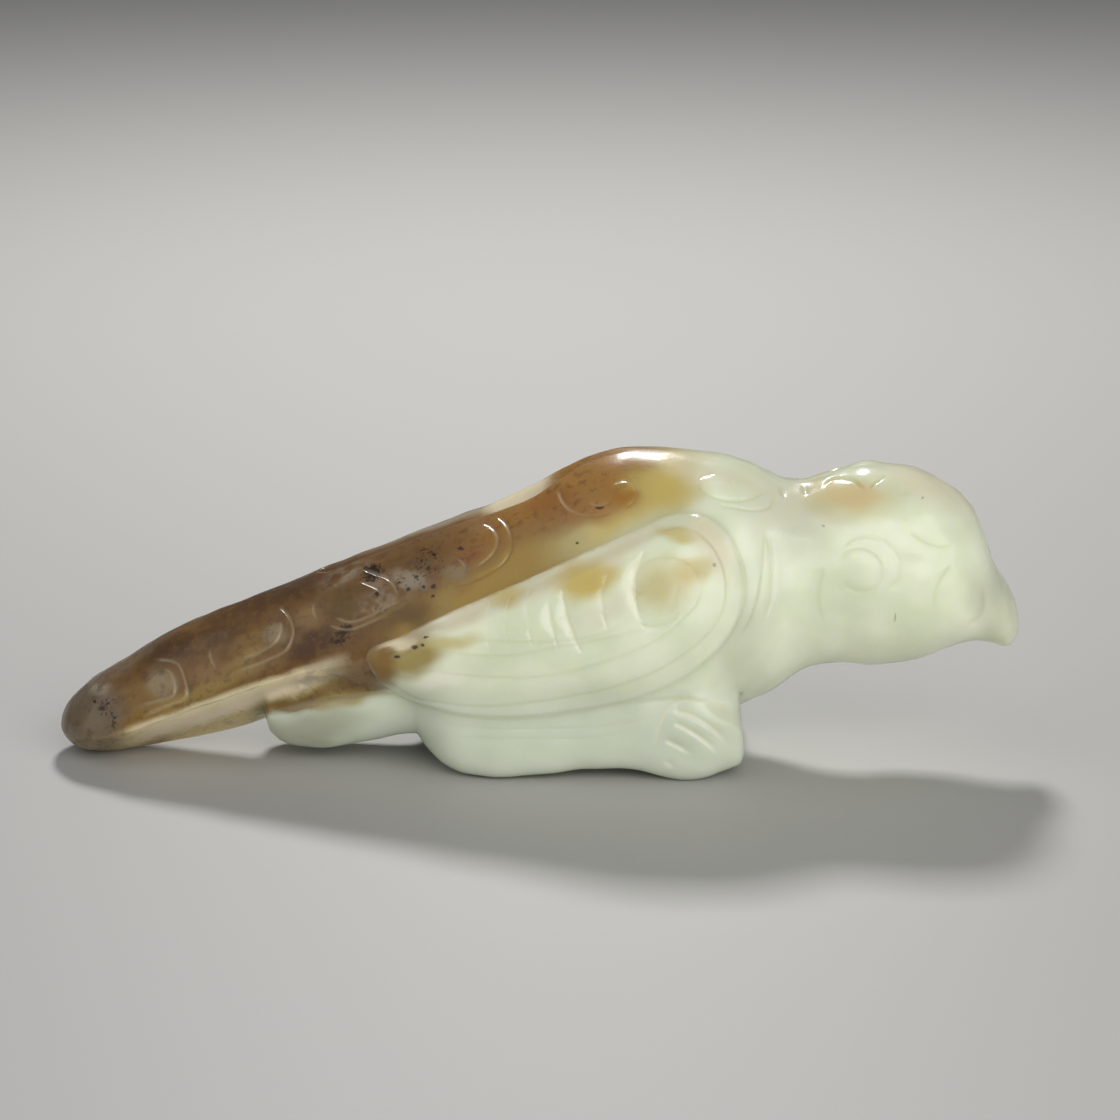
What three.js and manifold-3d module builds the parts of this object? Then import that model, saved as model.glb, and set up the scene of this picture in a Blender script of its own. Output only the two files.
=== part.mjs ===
// A small jade carving of a resting bird: head forward, wings folded, long tail laid back to the ground.
// Millimetres. +X points to the beak, +Z up, and the carving is the same on both flanks, across Y = 0.

import * as THREE from 'three';
import { mergeVertices } from 'three/addons/utils/BufferGeometryUtils.js';
import Module from 'manifold-3d';

const wasm = await Module();
wasm.setup();

// Overall size
const LENGTH = 65;
const TAIL_TIP = -LENGTH / 2;
const BEAK_TIP = LENGTH / 2;
const TAIL_ROUND = 2.6;
const BEAK_ROUND = 1.1;
const TAIL_TIP_HEIGHT = 1.9;
const BEAK_TIP_HEIGHT = 9;

// The trunk from tail to beak, one row for each place where its form changes:
// place along the body, top, underside, half width, how far up the section is widest (0 to 1),
// and how full the section is above and below that (1 straight, 2 elliptical, more is boxier)
const TRUNK = [
  [-32.6, 4.2, 0.0, 3.6, 0.45, 1.9, 1.7],
  [-30.8, 4.75, 0.0, 4.1, 0.42, 1.9, 1.5],
  [-28.8, 5.9, 0.0, 4.5, 0.4, 1.85, 1.3],
  [-25.7, 7.85, 0.45, 4.75, 0.4, 1.8, 1.15],
  [-21.6, 9.9, 1.3, 5.0, 0.42, 1.75, 1.05],
  [-16.2, 12.0, 3.0, 5.7, 0.45, 1.75, 1.1],
  [-10.8, 14.15, 3.5, 6.6, 0.46, 1.8, 1.5],
  [-6.7, 15.85, 3.0, 7.3, 0.45, 1.85, 2.0],
  [-2.6, 17.35, 2.6, 7.8, 0.45, 1.9, 2.2],
  [0.8, 19.05, 2.5, 8.1, 0.44, 1.95, 2.3],
  [4.1, 20.4, 2.5, 8.3, 0.43, 2.0, 2.3],
  [7.5, 21.05, 2.6, 8.35, 0.43, 2.0, 2.3],
  [10.9, 20.95, 2.9, 8.1, 0.44, 2.0, 2.2],
  [14.0, 20.2, 3.85, 7.3, 0.46, 2.0, 2.1],
  [16.0, 19.2, 4.7, 6.3, 0.47, 2.1, 2.1],
  [18.0, 18.95, 6.05, 5.6, 0.48, 2.2, 2.1],
  [20.0, 19.6, 6.4, 5.4, 0.48, 2.25, 2.1],
  [23.1, 20.0, 6.3, 5.5, 0.48, 2.25, 2.15],
  [26.2, 19.45, 6.9, 5.3, 0.46, 2.2, 2.15],
  [28.2, 18.15, 7.6, 4.7, 0.44, 2.1, 2.1],
  [29.6, 16.35, 7.85, 3.9, 0.44, 2.0, 2.0],
  [30.6, 13.5, 7.75, 3.1, 0.46, 2.0, 2.0],
  [31.6, 12.0, 7.45, 2.5, 0.46, 2.0, 2.0],
  [32.6, 11.0, 7.3, 2.0, 0.46, 2.0, 2.0],
];

// The mass under the trunk: the covert lobe below the tail, then the folded legs, then the feet:
// place along the body, half width, fullness
const UNDERSIDE = [
  [-18.8, 3.9, 3.0],
  [-17.0, 4.4, 3.0],
  [-14.0, 4.7, 3.2],
  [-10.0, 4.9, 3.5],
  [-8.5, 5.2, 4.0],
  [-6.5, 6.7, 6.0],
  [-3.5, 7.45, 10.0],
  [3.0, 7.5, 10.0],
  [7.5, 7.8, 10.0],
  [10.0, 8.05, 10.0],
  [12.2, 7.8, 8.0],
  [13.1, 7.2, 5.0],
  [13.8, 6.3, 2.6],
];
// Height of the lobe's underside, and of the legs' soles, which touch the ground at heel and toe
const LOBE_UNDERSIDE = [[-18.8, 0.9], [-17.0, 0.7], [-15.5, 0.6], [-12.8, 0.95], [-9.4, 1.65], [-7.5, 2.0]];
const SOLE = [
  [-8.8, -0.05], [-4.6, -0.06], [-2.4, -0.06], [1.0, 0.25], [4.6, 0.55], [7.2, 0.35],
  [8.8, -0.08], [10.8, -0.08], [12.2, 0.25], [13.8, 0.7],
];
const LOBE_BACK = -18.75;
const LOBE_ROUND = { along: 2.6, up: 2.6 };
const HEEL_BACK = -8.7;
const HEEL_ROUND = { along: 4.4, up: 3.4 };
const TOE_FRONT = 13.7;
const TOE_ROUND = { along: 0.8, up: 3.4 };
// The toes' fronts close within this length, and lean forward below a height, from a place to their front
const TOE_CLOSE = 0.12;
const TOE_LEAN = 0.5;
const LEAN_FROM = 12.2;
const LEAN_HEIGHT = 3.8;
// Width over which the trunk and the mass under it run into each other
const BLEND = 0.5;
// Wedge cut out between the legs: half widths at its bottom and top, ends, height, reach below the ground
const LEG_GAP = { bottom: 1.3, top: 0.3, back: -8.6, front: 15.5, height: 2.8, below: 1 };

// How finely the form is faceted: rings along the body, points round the lower and upper quarter of a ring,
// rings in each rounded end, and the least distance between rings
const BODY_RINGS = 38;
const RING_LOW = 9;
const RING_HIGH = 7;
const END_RINGS = 4;
const RING_APART = 0.1;
// How finely the skin is searched: steps along a quarter of a ring, halvings that find a rise on a flank,
// the step that its normal is taken over, and the least half size of a section
const SPREAD_STEPS = 40;
const HALVINGS = 30;
const NORMAL_STEP = 0.15;
const LEAST = 1e-6;

// Side carving is laid out on a plane that leans back by this much: across is X, up is "rise"
const CARVING_LEAN = THREE.MathUtils.degToRad(16);

// The folded wing: its outline (place, rise) from the tip along the upper edge and back below
const WING_OUTLINE = [
  [-11.4, 6.3], [-8.6, 8.0], [-0.9, 11.5], [6.7, 14.9], [9.2, 15.9], [11.0, 15.8], [12.5, 14.7], [13.3, 12.9],
  [13.6, 10.9], [13.1, 8.9], [12.1, 7.3], [10.1, 5.4], [6.8, 3.8], [3.4, 3.0], [0.1, 2.5],
  [-3.3, 2.4], [-5.9, 2.7], [-8.0, 3.3], [-9.7, 4.2], [-11.0, 5.5],
];
const WING_RIBS = 20;
const WING_LIFT = 0.75;
const WING_EDGE = 0.4;
const WING_ROOT = 0.5;
const WING_BEVEL = 0.055;
// Where the long feathers overlap, as shares of the way from the upper edge to the lower, the last one
// being the rim, and how far each stands over the next. The overlaps fade out within a share of the length.
const FEATHER_STEPS = [0.4, 0.52, 0.66, 0.86];
const FEATHER_DROP = 0.26;
const FEATHER_STEP_WIDTH = 0.03;
const FEATHER_FADE = 0.2;

// Engraved lines, each [place, rise] from end to end, at their cut width and depth. The cutter stands above
// the skin, moves in even steps, and keeps a share of its size at a line's ends
const FINE_CUT = { half: 0.22, depth: 0.28 };
const BOLD_CUT = { half: 0.3, depth: 0.34 };
const CUT_ABOVE = 0.2;
const CUT_STEP = 1.25;
const CUT_LEAST_STEPS = 3;
const CUT_END = 0.3;
const CUT_AHEAD = 0.02;

const WING_LINES = [
  // scroll at the shoulder, run out into the long feather below it
  [[6.5, 8.8], [5.6, 10.9], [6.3, 12.4], [8.2, 13.0], [10.0, 12.5], [10.6, 11.2], [9.8, 9.4], [7.6, 7.6]],
  // rim round the front
  [[7.7, 14.6], [10.0, 14.6], [11.5, 13.6], [12.2, 11.9], [12.1, 10.0], [10.9, 8.0]],
];
// Short feather scales above the long feathers: place, rise of the middle, height
const WING_SCALES = [[-3.5, 8.9, 2.0], [-1.1, 9.4, 1.9], [1.0, 9.5, 2.5], [4.0, 10.4, 2.2]];
const SCALE_BOW = 0.35;

// Scrolled lappets down the tail: front end (place, rise), length, height, slope of the tail there
const LAPPETS = [
  { front: -1.8, rise: 13.9, length: 3.8, height: 4.0, slope: 0.42 },
  { front: -9.4, rise: 10.6, length: 4.4, height: 3.4, slope: 0.42 },
  { front: -16.3, rise: 7.8, length: 4.6, height: 3.2, slope: 0.42 },
  { front: -23.4, rise: 5.0, length: 3.4, height: 2.9, slope: 0.47 },
];
const LAPPET_INSET = 0.75;
// Its line as shares of the length back from the front and of the half height up, along the tail's slope
const LAPPET_SCROLL = [[0.35, 1.07], [0.12, 0.75], [0, 0.1], [0.12, -0.6], [0.5, -0.85], [1, -0.9]];
const LAPPET_FOLLOW = 0.9;

const BODY_LINES = [
  // leaf behind the nape and the hanging leaf of the collar
  [[10.6, 18.1], [11.7, 18.6], [13.5, 18.2], [15.1, 17.2], [13.8, 16.4], [12.4, 16.6], [10.9, 17.4]],
  [[15.1, 14.8], [14.8, 11.6], [14.1, 9.0], [13.2, 7.6]],
  [[15.3, 14.4], [15.5, 10.2], [15.1, 8.8]],
  // curl on the cheek
  [[20.1, 13.9], [22.1, 14.4], [23.5, 13.6], [24.0, 11.9], [22.9, 10.8], [21.2, 10.9], [20.5, 12.0], [21.3, 13.2]],
  // lower lid, corner of the beak, and beak
  [[24.7, 14.7], [25.8, 14.0], [26.9, 13.7], [27.9, 13.9]],
  [[27.5, 12.6], [26.5, 10.9], [26.4, 9.2]],
];
const FOOT_LINES = [
  [[10.1, 3.6], [8.6, 3.0], [7.8, 0.6]],
  [[9.1, 2.6], [10.8, 2.1], [12.1, 1.2], [12.8, 0.4]],
  [[8.9, 1.9], [10.8, 0.9], [12.1, -0.3]],
];
// The curled covert on the back, beside the spine: middle (place, rise), half length, half height
const BACK_CURL = { place: 3.5, rise: 17.3, length: 3.1, height: 1.25, steps: 12 };

const JADE = new THREE.MeshStandardMaterial({ color: 0xc9d2a6, roughness: 0.25, metalness: 0 });

// Values between the rows of a table, by a smooth curve through every row
function smooth(rows, place) {
  const x = THREE.MathUtils.clamp(place, rows[0][0], rows[rows.length - 1][0]);
  let i = 0;
  while (i < rows.length - 2 && x > rows[i + 1][0]) i += 1;
  const step = (k) => rows[k + 1][0] - rows[k][0];
  const slope = (k, c) => (rows[k + 1][c] - rows[k][c]) / step(k);
  const tangent = (k, c) => {
    if (k === 0) return slope(0, c);
    if (k === rows.length - 1) return slope(k - 1, c);
    return (slope(k - 1, c) * step(k) + slope(k, c) * step(k - 1)) / (step(k - 1) + step(k));
  };
  const h = step(i);
  const t = (x - rows[i][0]) / h;
  return rows[i].slice(1).map((_, n) => {
    const c = n + 1;
    const start = rows[i][c] * (2 * t ** 3 - 3 * t ** 2 + 1) + tangent(i, c) * h * (t ** 3 - 2 * t ** 2 + t);
    const end = rows[i + 1][c] * (3 * t ** 2 - 2 * t ** 3) + tangent(i + 1, c) * h * (t ** 3 - t ** 2);
    return start + end;
  });
}

// Rise of a rounded corner: none before it starts (t = 0), all of it at its end (t = 1)
function corner(t, up) {
  const s = THREE.MathUtils.clamp(t, 0, 1);
  return up * (1 - Math.sqrt(1 - s * s));
}

// Section of the trunk at a place, drawn in towards the tip's height at the rounded ends
function trunkAt(x) {
  const [fullTop, fullBottom, fullHalf, widest, upper, lower] = smooth(TRUNK, x);
  const tail = THREE.MathUtils.clamp((TAIL_TIP + TAIL_ROUND - x) / TAIL_ROUND, 0, 1);
  const beak = THREE.MathUtils.clamp((x - BEAK_TIP + BEAK_ROUND) / BEAK_ROUND, 0, 1);
  const size = Math.sqrt(1 - tail * tail) * Math.sqrt(1 - beak * beak);
  const tip = tail > 0 ? TAIL_TIP_HEIGHT : BEAK_TIP_HEIGHT;
  const top = tip + (fullTop - tip) * size;
  const bottom = tip + (fullBottom - tip) * size;
  return { top, bottom, half: fullHalf * size, middle: bottom + widest * (top - bottom), upper, lower };
}

// Half width, lowest height and fullness of the mass under the trunk, or nothing where there is none
function undersideAt(x) {
  if (x < LOBE_BACK || x > TOE_FRONT) return null;
  const [half, power] = smooth(UNDERSIDE, x);
  const lobe = smooth(LOBE_UNDERSIDE, x)[0]
    + corner((LOBE_BACK + LOBE_ROUND.along - x) / LOBE_ROUND.along, LOBE_ROUND.up);
  const leg = smooth(SOLE, x)[0]
    + corner((HEEL_BACK + HEEL_ROUND.along - x) / HEEL_ROUND.along, HEEL_ROUND.up)
    + corner((x - TOE_FRONT + TOE_ROUND.along) / TOE_ROUND.along, TOE_ROUND.up);
  if (x < HEEL_BACK) return { half, power, bottom: lobe };
  if (x > HEEL_BACK + HEEL_ROUND.along) return { half, power, bottom: leg };
  return { half, power, bottom: Math.min(lobe, leg) };
}

// Distance from the middle of an oval section of the given half sizes to its edge
function reach(cos, sin, half, rise, power) {
  return (Math.abs(cos / half) ** power + Math.abs(sin / rise) ** power) ** (-1 / power);
}

// The larger of two distances, rounded where they cross
function softMax(a, b) {
  const apart = Math.abs(a - b);
  return Math.max(a, b) + (apart < BLEND ? (BLEND - apart) ** 2 / (4 * BLEND) : 0);
}

// Skin of the body at a place along it and an angle round it: 0 is the far flank, 90 up
function skin(x, angle) {
  const t = trunkAt(x);
  const cos = Math.cos(angle);
  const sin = Math.sin(angle);
  const half = Math.max(t.half, LEAST);
  let out = sin >= 0
    ? reach(cos, sin, half, Math.max(t.top - t.middle, LEAST), t.upper)
    : reach(cos, sin, half, Math.max(t.middle - t.bottom, LEAST), t.lower);
  const u = undersideAt(x);
  if (u && sin < 0) out = softMax(out, reach(cos, sin, u.half, t.middle - u.bottom, u.power));
  const z = Math.max(t.middle + out * sin, 0);
  const toward = THREE.MathUtils.smoothstep(x, LEAN_FROM, TOE_FRONT);
  const lean = TOE_LEAN * toward * THREE.MathUtils.clamp(1 - z / LEAN_HEIGHT, 0, 1);
  return new THREE.Vector3(x + lean, out * cos, z);
}

// Height of a point as the drawing plane shows it
const rise = (point) => point.z * Math.cos(CARVING_LEAN) + point.y * Math.sin(CARVING_LEAN);

// Point of the near flank (Y below 0) that the drawing plane shows at a place and rise
function flank(x, height) {
  let high = Math.PI / 2;
  let low = 1.5 * Math.PI;
  for (let n = 0; n < HALVINGS; n += 1) {
    const half = (high + low) / 2;
    if (rise(skin(x, half)) > height) high = half;
    else low = half;
  }
  return skin(x, (high + low) / 2);
}

function flankNormal(x, height) {
  const along = flank(x + NORMAL_STEP, height).sub(flank(x - NORMAL_STEP, height));
  const up = flank(x, height + NORMAL_STEP).sub(flank(x, height - NORMAL_STEP));
  return along.cross(up).normalize();
}

const lifted = (x, height, lift) => flank(x, height).addScaledVector(flankNormal(x, height), lift);

// Closed geometry through a row of equal rings, ended on one point at either end
function ringSolid(rings, first, last) {
  const n = rings[0].length;
  const points = [first, ...rings.flat(), last];
  const at = (i, j) => 1 + i * n + (j % n);
  const faces = [];
  for (let j = 0; j < n; j += 1) {
    faces.push(0, at(0, j + 1), at(0, j));
    for (let i = 0; i < rings.length - 1; i += 1) {
      faces.push(at(i, j), at(i, j + 1), at(i + 1, j));
      faces.push(at(i, j + 1), at(i + 1, j + 1), at(i + 1, j));
    }
    faces.push(points.length - 1, at(rings.length - 1, j), at(rings.length - 1, j + 1));
  }
  const geometry = new THREE.BufferGeometry().setFromPoints(points);
  geometry.setIndex(faces);
  return geometry;
}

function toSolid(geometry) {
  const bare = geometry.index ? geometry : mergeVertices(geometry);
  return new wasm.Manifold(new wasm.Mesh({
    numProp: 3,
    vertProperties: new Float32Array(bare.attributes.position.array),
    triVerts: new Uint32Array(bare.index.array),
  }));
}

// The same rings on the far flank, turned over so that their faces still point out
const mirrored = (rings) => rings.map((ring) => ring.map((p) => new THREE.Vector3(p.x, -p.y, p.z)).reverse());

// Angles round one ring, evenly spaced along its edge, with one at the widest point and one at each middle
function ringAngles(x) {
  const spread = (from, to, count) => {
    const angles = Array.from({ length: SPREAD_STEPS + 1 }, (_, i) => from + ((to - from) * i) / SPREAD_STEPS);
    const points = angles.map((a) => skin(x, a));
    const run = [0];
    for (let i = 1; i <= SPREAD_STEPS; i += 1) run.push(run[i - 1] + points[i].distanceTo(points[i - 1]));
    return Array.from({ length: count }, (_, k) => {
      const want = (run[SPREAD_STEPS] * k) / count;
      let i = 0;
      while (i < SPREAD_STEPS - 1 && run[i + 1] < want) i += 1;
      return angles[i] + ((angles[i + 1] - angles[i]) * (want - run[i])) / (run[i + 1] - run[i]);
    });
  };
  const quarter = Math.PI / 2;
  const right = [...spread(-quarter, 0, RING_LOW), ...spread(0, quarter, RING_HIGH), quarter];
  const left = right.slice(1, -1).map((a) => Math.PI - a).reverse();
  return [...right, ...left];
}

// Places of the rings: evenly along the body, and closer where an end is rounded
function bodyPlaces() {
  const places = new Set();
  const span = BEAK_TIP - TAIL_TIP;
  for (let i = 1; i < BODY_RINGS; i += 1) places.add(TAIL_TIP + (span * i) / BODY_RINGS);
  const round = (from, along, sign) => {
    for (let i = 1; i <= END_RINGS; i += 1) {
      places.add(from + sign * along * (1 - Math.cos((Math.PI / 2) * (i / END_RINGS))));
    }
  };
  round(TAIL_TIP, TAIL_ROUND, 1);
  round(BEAK_TIP, BEAK_ROUND, -1);
  round(LOBE_BACK, LOBE_ROUND.along, 1);
  round(HEEL_BACK, HEEL_ROUND.along, 1);
  round(TOE_FRONT, TOE_ROUND.along, -1);
  places.add(TOE_FRONT);
  places.add(TOE_FRONT + TOE_CLOSE);
  return [...places].sort((a, b) => a - b).filter((x, i, all) => i === 0 || x - all[i - 1] > RING_APART);
}

function bodySolid() {
  const rings = bodyPlaces().map((x) => ringAngles(x).map((a) => skin(x, a)));
  const tail = new THREE.Vector3(TAIL_TIP, 0, TAIL_TIP_HEIGHT);
  const beak = new THREE.Vector3(BEAK_TIP, 0, BEAK_TIP_HEIGHT);
  return toSolid(ringSolid(rings, tail, beak));
}

// Wedge that parts the two legs under the belly
function legGap() {
  const shape = new THREE.Shape();
  shape.moveTo(-LEG_GAP.bottom, -LEG_GAP.below);
  shape.lineTo(LEG_GAP.bottom, -LEG_GAP.below);
  shape.lineTo(LEG_GAP.top, LEG_GAP.height);
  shape.lineTo(-LEG_GAP.top, LEG_GAP.height);
  shape.closePath();
  const wedge = new THREE.ExtrudeGeometry(shape, { depth: LEG_GAP.front - LEG_GAP.back, bevelEnabled: false });
  wedge.deleteAttribute('normal');
  wedge.deleteAttribute('uv');
  wedge.rotateX(Math.PI / 2);
  wedge.rotateZ(Math.PI / 2);
  wedge.translate(LEG_GAP.back, 0, 0);
  return toSolid(mergeVertices(wedge));
}

function curveThrough(points, closed = false) {
  return new THREE.CatmullRomCurve3(points.map(([x, y]) => new THREE.Vector3(x, y, 0)), closed, 'centripetal');
}

// Lift of the wing's face over the flank, at a share of the way down it: each feather thins to its lower edge
// and the next one starts below it by the feather drop
function wingFace() {
  const rows = [[0, -WING_ROOT], [0, WING_EDGE], [WING_BEVEL, WING_LIFT]];
  for (const at of FEATHER_STEPS) {
    rows.push([at, WING_LIFT], [at + FEATHER_STEP_WIDTH, WING_LIFT - FEATHER_DROP]);
  }
  return [...rows, [1 - WING_BEVEL, WING_LIFT], [1, WING_EDGE], [1, -WING_ROOT]];
}

// Raised plate of a folded wing: ribs across the outline, each a row of points over the flank
function wingSolids() {
  const outline = curveThrough(WING_OUTLINE, true);
  const rib = (i) => {
    const t = i / WING_RIBS;
    const high = outline.getPointAt(t / 2);
    const low = outline.getPointAt(1 - t / 2);
    const carved = THREE.MathUtils.smoothstep(Math.min(t, 1 - t), 0, FEATHER_FADE);
    const face = wingFace().map(([share, lift]) => {
      const at = high.clone().lerp(low, share);
      return lifted(at.x, at.y, lift > WING_EDGE ? WING_LIFT + (lift - WING_LIFT) * carved : lift);
    });
    const middle = high.clone().lerp(low, 0.5);
    return [...face, lifted(middle.x, middle.y, -2 * WING_ROOT)];
  };
  const rings = Array.from({ length: WING_RIBS - 1 }, (_, i) => rib(i + 1));
  const tip = outline.getPointAt(0);
  const front = outline.getPointAt(0.5);
  const ends = [lifted(tip.x, tip.y, -WING_ROOT), lifted(front.x, front.y, -WING_ROOT)];
  return pair(rings, ends);
}

// A solid given by rings on the near flank, and its twin on the far flank
function pair(rings, ends) {
  const near = ringSolid(rings, ends[0], ends[1]);
  const [far0, far1] = mirrored([ends])[0].reverse();
  const far = ringSolid(mirrored(rings), far0, far1);
  return [near, far].map(toSolid).map((solid) => {
    if (solid.volume() > 0) return solid;
    throw new Error('a raised or cut form is inside out');
  });
}

// Cutters for one engraved line: a three-sided bar along the skin that tapers out at both ends
function cutLine(points, cut, lift = 0) {
  const curve = curveThrough(points);
  const steps = Math.max(CUT_LEAST_STEPS, Math.round(curve.getLength() / CUT_STEP));
  const rings = [];
  for (let i = 0; i <= steps; i += 1) {
    const t = i / steps;
    const at = curve.getPointAt(t);
    const before = curve.getPointAt(Math.max(t - CUT_AHEAD, 0));
    const ahead = curve.getPointAt(Math.min(t + CUT_AHEAD, 1)).sub(before).normalize();
    const end = i === 0 || i === steps ? CUT_END : 1;
    const spread = (cut.half * end * (cut.depth + CUT_ABOVE)) / cut.depth;
    const left = [at.x - ahead.y * spread, at.y + ahead.x * spread];
    const right = [at.x + ahead.y * spread, at.y - ahead.x * spread];
    rings.push([
      lifted(right[0], right[1], lift + CUT_ABOVE),
      lifted(at.x, at.y, lift - cut.depth * end),
      lifted(left[0], left[1], lift + CUT_ABOVE),
    ]);
  }
  const centre = (ring) => ring[0].clone().add(ring[1]).add(ring[2]).divideScalar(3);
  return pair(rings, [centre(rings[0]), centre(rings[rings.length - 1])]);
}

// Double scrolled line of one tail lappet: it comes forward above, turns down and runs back below
function lappetLines({ front, rise: middle, length, height, slope }) {
  const line = (inset) => LAPPET_SCROLL.map(([back, up]) => {
    const along = back * (length - inset);
    return [front - inset - along, middle + up * (height / 2 - inset) - along * slope * LAPPET_FOLLOW];
  });
  return [line(0), line(LAPPET_INSET)];
}

// Bowed edge of one short feather
function scaleLine([place, middle, height]) {
  return [[place + SCALE_BOW, middle + height / 2], [place, middle], [place + SCALE_BOW, middle - height / 2]];
}

// Open oval of the curled covert
function backCurlLine({ place, rise: middle, length, height, steps }) {
  return Array.from({ length: steps }, (_, i) => {
    const a = (2 * Math.PI * (i + 0.5)) / steps;
    return [place + length * Math.cos(a), middle + height * Math.sin(a)];
  });
}

function birdSolid() {
  let bird = bodySolid().subtract(legGap());
  for (const wing of wingSolids()) bird = bird.add(wing);
  const cuts = [
    ...WING_LINES.map((line) => cutLine(line, BOLD_CUT, WING_LIFT)),
    ...WING_SCALES.map((row) => cutLine(scaleLine(row), FINE_CUT, WING_LIFT)),
    ...LAPPETS.flatMap((lappet) => lappetLines(lappet).map((line) => cutLine(line, FINE_CUT))),
    ...BODY_LINES.map((line) => cutLine(line, FINE_CUT)),
    ...FOOT_LINES.map((line) => cutLine(line, BOLD_CUT)),
    cutLine(backCurlLine(BACK_CURL), FINE_CUT),
  ];
  for (const cutter of cuts.flat()) bird = bird.subtract(cutter);
  return bird;
}

function toGeometry(solid) {
  const { vertProperties, triVerts } = solid.getMesh();
  const geometry = new THREE.BufferGeometry();
  geometry.setAttribute('position', new THREE.BufferAttribute(Float32Array.from(vertProperties), 3));
  geometry.setIndex(new THREE.BufferAttribute(Uint32Array.from(triVerts), 1));
  return geometry;
}

const bird = new THREE.Mesh(toGeometry(birdSolid()), JADE);
bird.name = 'jade_bird';

const carving = new THREE.Group();
carving.add(bird);

export default carving;
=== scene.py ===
"""A small jade bird carving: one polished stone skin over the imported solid, on a pale floor in soft light.

The bird lies along X with its beak at +X and the flank that faces the camera at -Y. Carving sizes are in
millimetres and the finished mesh is in metres. The side carving is drawn on a plane that leans back by
CARVING_LEAN: across it is x, and up it is "rise". Both flanks carry the same carving.
"""
import math

import bpy
import numpy as np
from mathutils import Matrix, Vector


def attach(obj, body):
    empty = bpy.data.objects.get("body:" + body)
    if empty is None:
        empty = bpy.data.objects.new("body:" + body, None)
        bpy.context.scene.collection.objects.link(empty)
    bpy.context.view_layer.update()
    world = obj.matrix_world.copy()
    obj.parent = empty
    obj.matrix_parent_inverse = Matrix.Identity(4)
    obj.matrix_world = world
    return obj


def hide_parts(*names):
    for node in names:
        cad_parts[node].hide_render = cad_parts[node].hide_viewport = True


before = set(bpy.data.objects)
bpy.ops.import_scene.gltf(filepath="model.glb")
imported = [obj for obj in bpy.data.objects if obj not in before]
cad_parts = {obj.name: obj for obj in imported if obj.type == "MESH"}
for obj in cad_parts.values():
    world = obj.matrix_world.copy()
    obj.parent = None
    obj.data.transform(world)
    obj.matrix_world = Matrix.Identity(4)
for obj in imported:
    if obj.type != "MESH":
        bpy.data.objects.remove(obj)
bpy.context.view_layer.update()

MM = 0.001
CARVING_LEAN = math.radians(16)

# Overall form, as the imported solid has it
TAIL_TIP = -32.5
BEAK_TIP = 32.5
TAIL_ROUND = 2.6
BEAK_ROUND = 1.1
TAIL_TIP_HEIGHT = 1.9
BEAK_TIP_HEIGHT = 9.0

# The trunk: place along the body, top, underside, half width, how far up the section is widest,
# and how full it is above and below that
TRUNK = [
    (-32.6, 4.2, 0.0, 3.6, 0.45, 1.9, 1.7),
    (-30.8, 4.75, 0.0, 4.1, 0.42, 1.9, 1.5),
    (-28.8, 5.9, 0.0, 4.5, 0.4, 1.85, 1.3),
    (-25.7, 7.85, 0.45, 4.75, 0.4, 1.8, 1.15),
    (-21.6, 9.9, 1.3, 5.0, 0.42, 1.75, 1.05),
    (-16.2, 12.0, 3.0, 5.7, 0.45, 1.75, 1.1),
    (-10.8, 14.15, 3.5, 6.6, 0.46, 1.8, 1.5),
    (-6.7, 15.85, 3.0, 7.3, 0.45, 1.85, 2.0),
    (-2.6, 17.35, 2.6, 7.8, 0.45, 1.9, 2.2),
    (0.8, 19.05, 2.5, 8.1, 0.44, 1.95, 2.3),
    (4.1, 20.4, 2.5, 8.3, 0.43, 2.0, 2.3),
    (7.5, 21.05, 2.6, 8.35, 0.43, 2.0, 2.3),
    (10.9, 20.95, 2.9, 8.1, 0.44, 2.0, 2.2),
    (14.0, 20.2, 3.85, 7.3, 0.46, 2.0, 2.1),
    (16.0, 19.2, 4.7, 6.3, 0.47, 2.1, 2.1),
    (18.0, 18.95, 6.05, 5.6, 0.48, 2.2, 2.1),
    (20.0, 19.6, 6.4, 5.4, 0.48, 2.25, 2.1),
    (23.1, 20.0, 6.3, 5.5, 0.48, 2.25, 2.15),
    (26.2, 19.45, 6.9, 5.3, 0.46, 2.2, 2.15),
    (28.2, 18.15, 7.6, 4.7, 0.44, 2.1, 2.1),
    (29.6, 16.35, 7.85, 3.9, 0.44, 2.0, 2.0),
    (30.6, 13.5, 7.75, 3.1, 0.46, 2.0, 2.0),
    (31.6, 12.0, 7.45, 2.5, 0.46, 2.0, 2.0),
    (32.6, 11.0, 7.3, 2.0, 0.46, 2.0, 2.0),
]
# The mass under the trunk, the covert lobe, then legs and feet: place, half width, fullness
UNDERSIDE = [
    (-18.8, 3.9, 3.0), (-17.0, 4.4, 3.0), (-14.0, 4.7, 3.2), (-10.0, 4.9, 3.5), (-8.5, 5.2, 4.0),
    (-6.5, 6.7, 6.0), (-3.5, 7.45, 10.0), (3.0, 7.5, 10.0), (7.5, 7.8, 10.0), (10.0, 8.05, 10.0),
    (12.2, 7.85, 8.0), (13.1, 7.5, 6.0), (13.8, 7.1, 4.0),
]
LOBE_UNDERSIDE = [(-18.8, 0.9), (-17.0, 0.7), (-15.5, 0.6), (-12.8, 0.95), (-9.4, 1.65), (-7.5, 2.0)]
SOLE = [
    (-8.8, -0.05), (-4.6, -0.06), (-2.4, -0.06), (1.0, 0.25), (4.6, 0.55), (7.2, 0.35),
    (8.8, -0.08), (10.8, -0.08), (12.2, 0.25), (13.8, 0.7),
]
LOBE_BACK = -18.75
LOBE_ROUND = (2.6, 2.6)
HEEL_BACK = -8.7
HEEL_ROUND = (4.4, 3.4)
TOE_FRONT = 13.3
TOE_ROUND = (0.5, 1.6)
TOE_CLOSE = 0.12
TOE_LEAN = 0.9
LEAN_FROM = 11.8
LEAN_HEIGHT = 4.6
BLEND = 0.5
JOIN_RUNOUT = 0.3
LOBE_START = 0.6
BREAST_RUNOUT = 3.6
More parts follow.
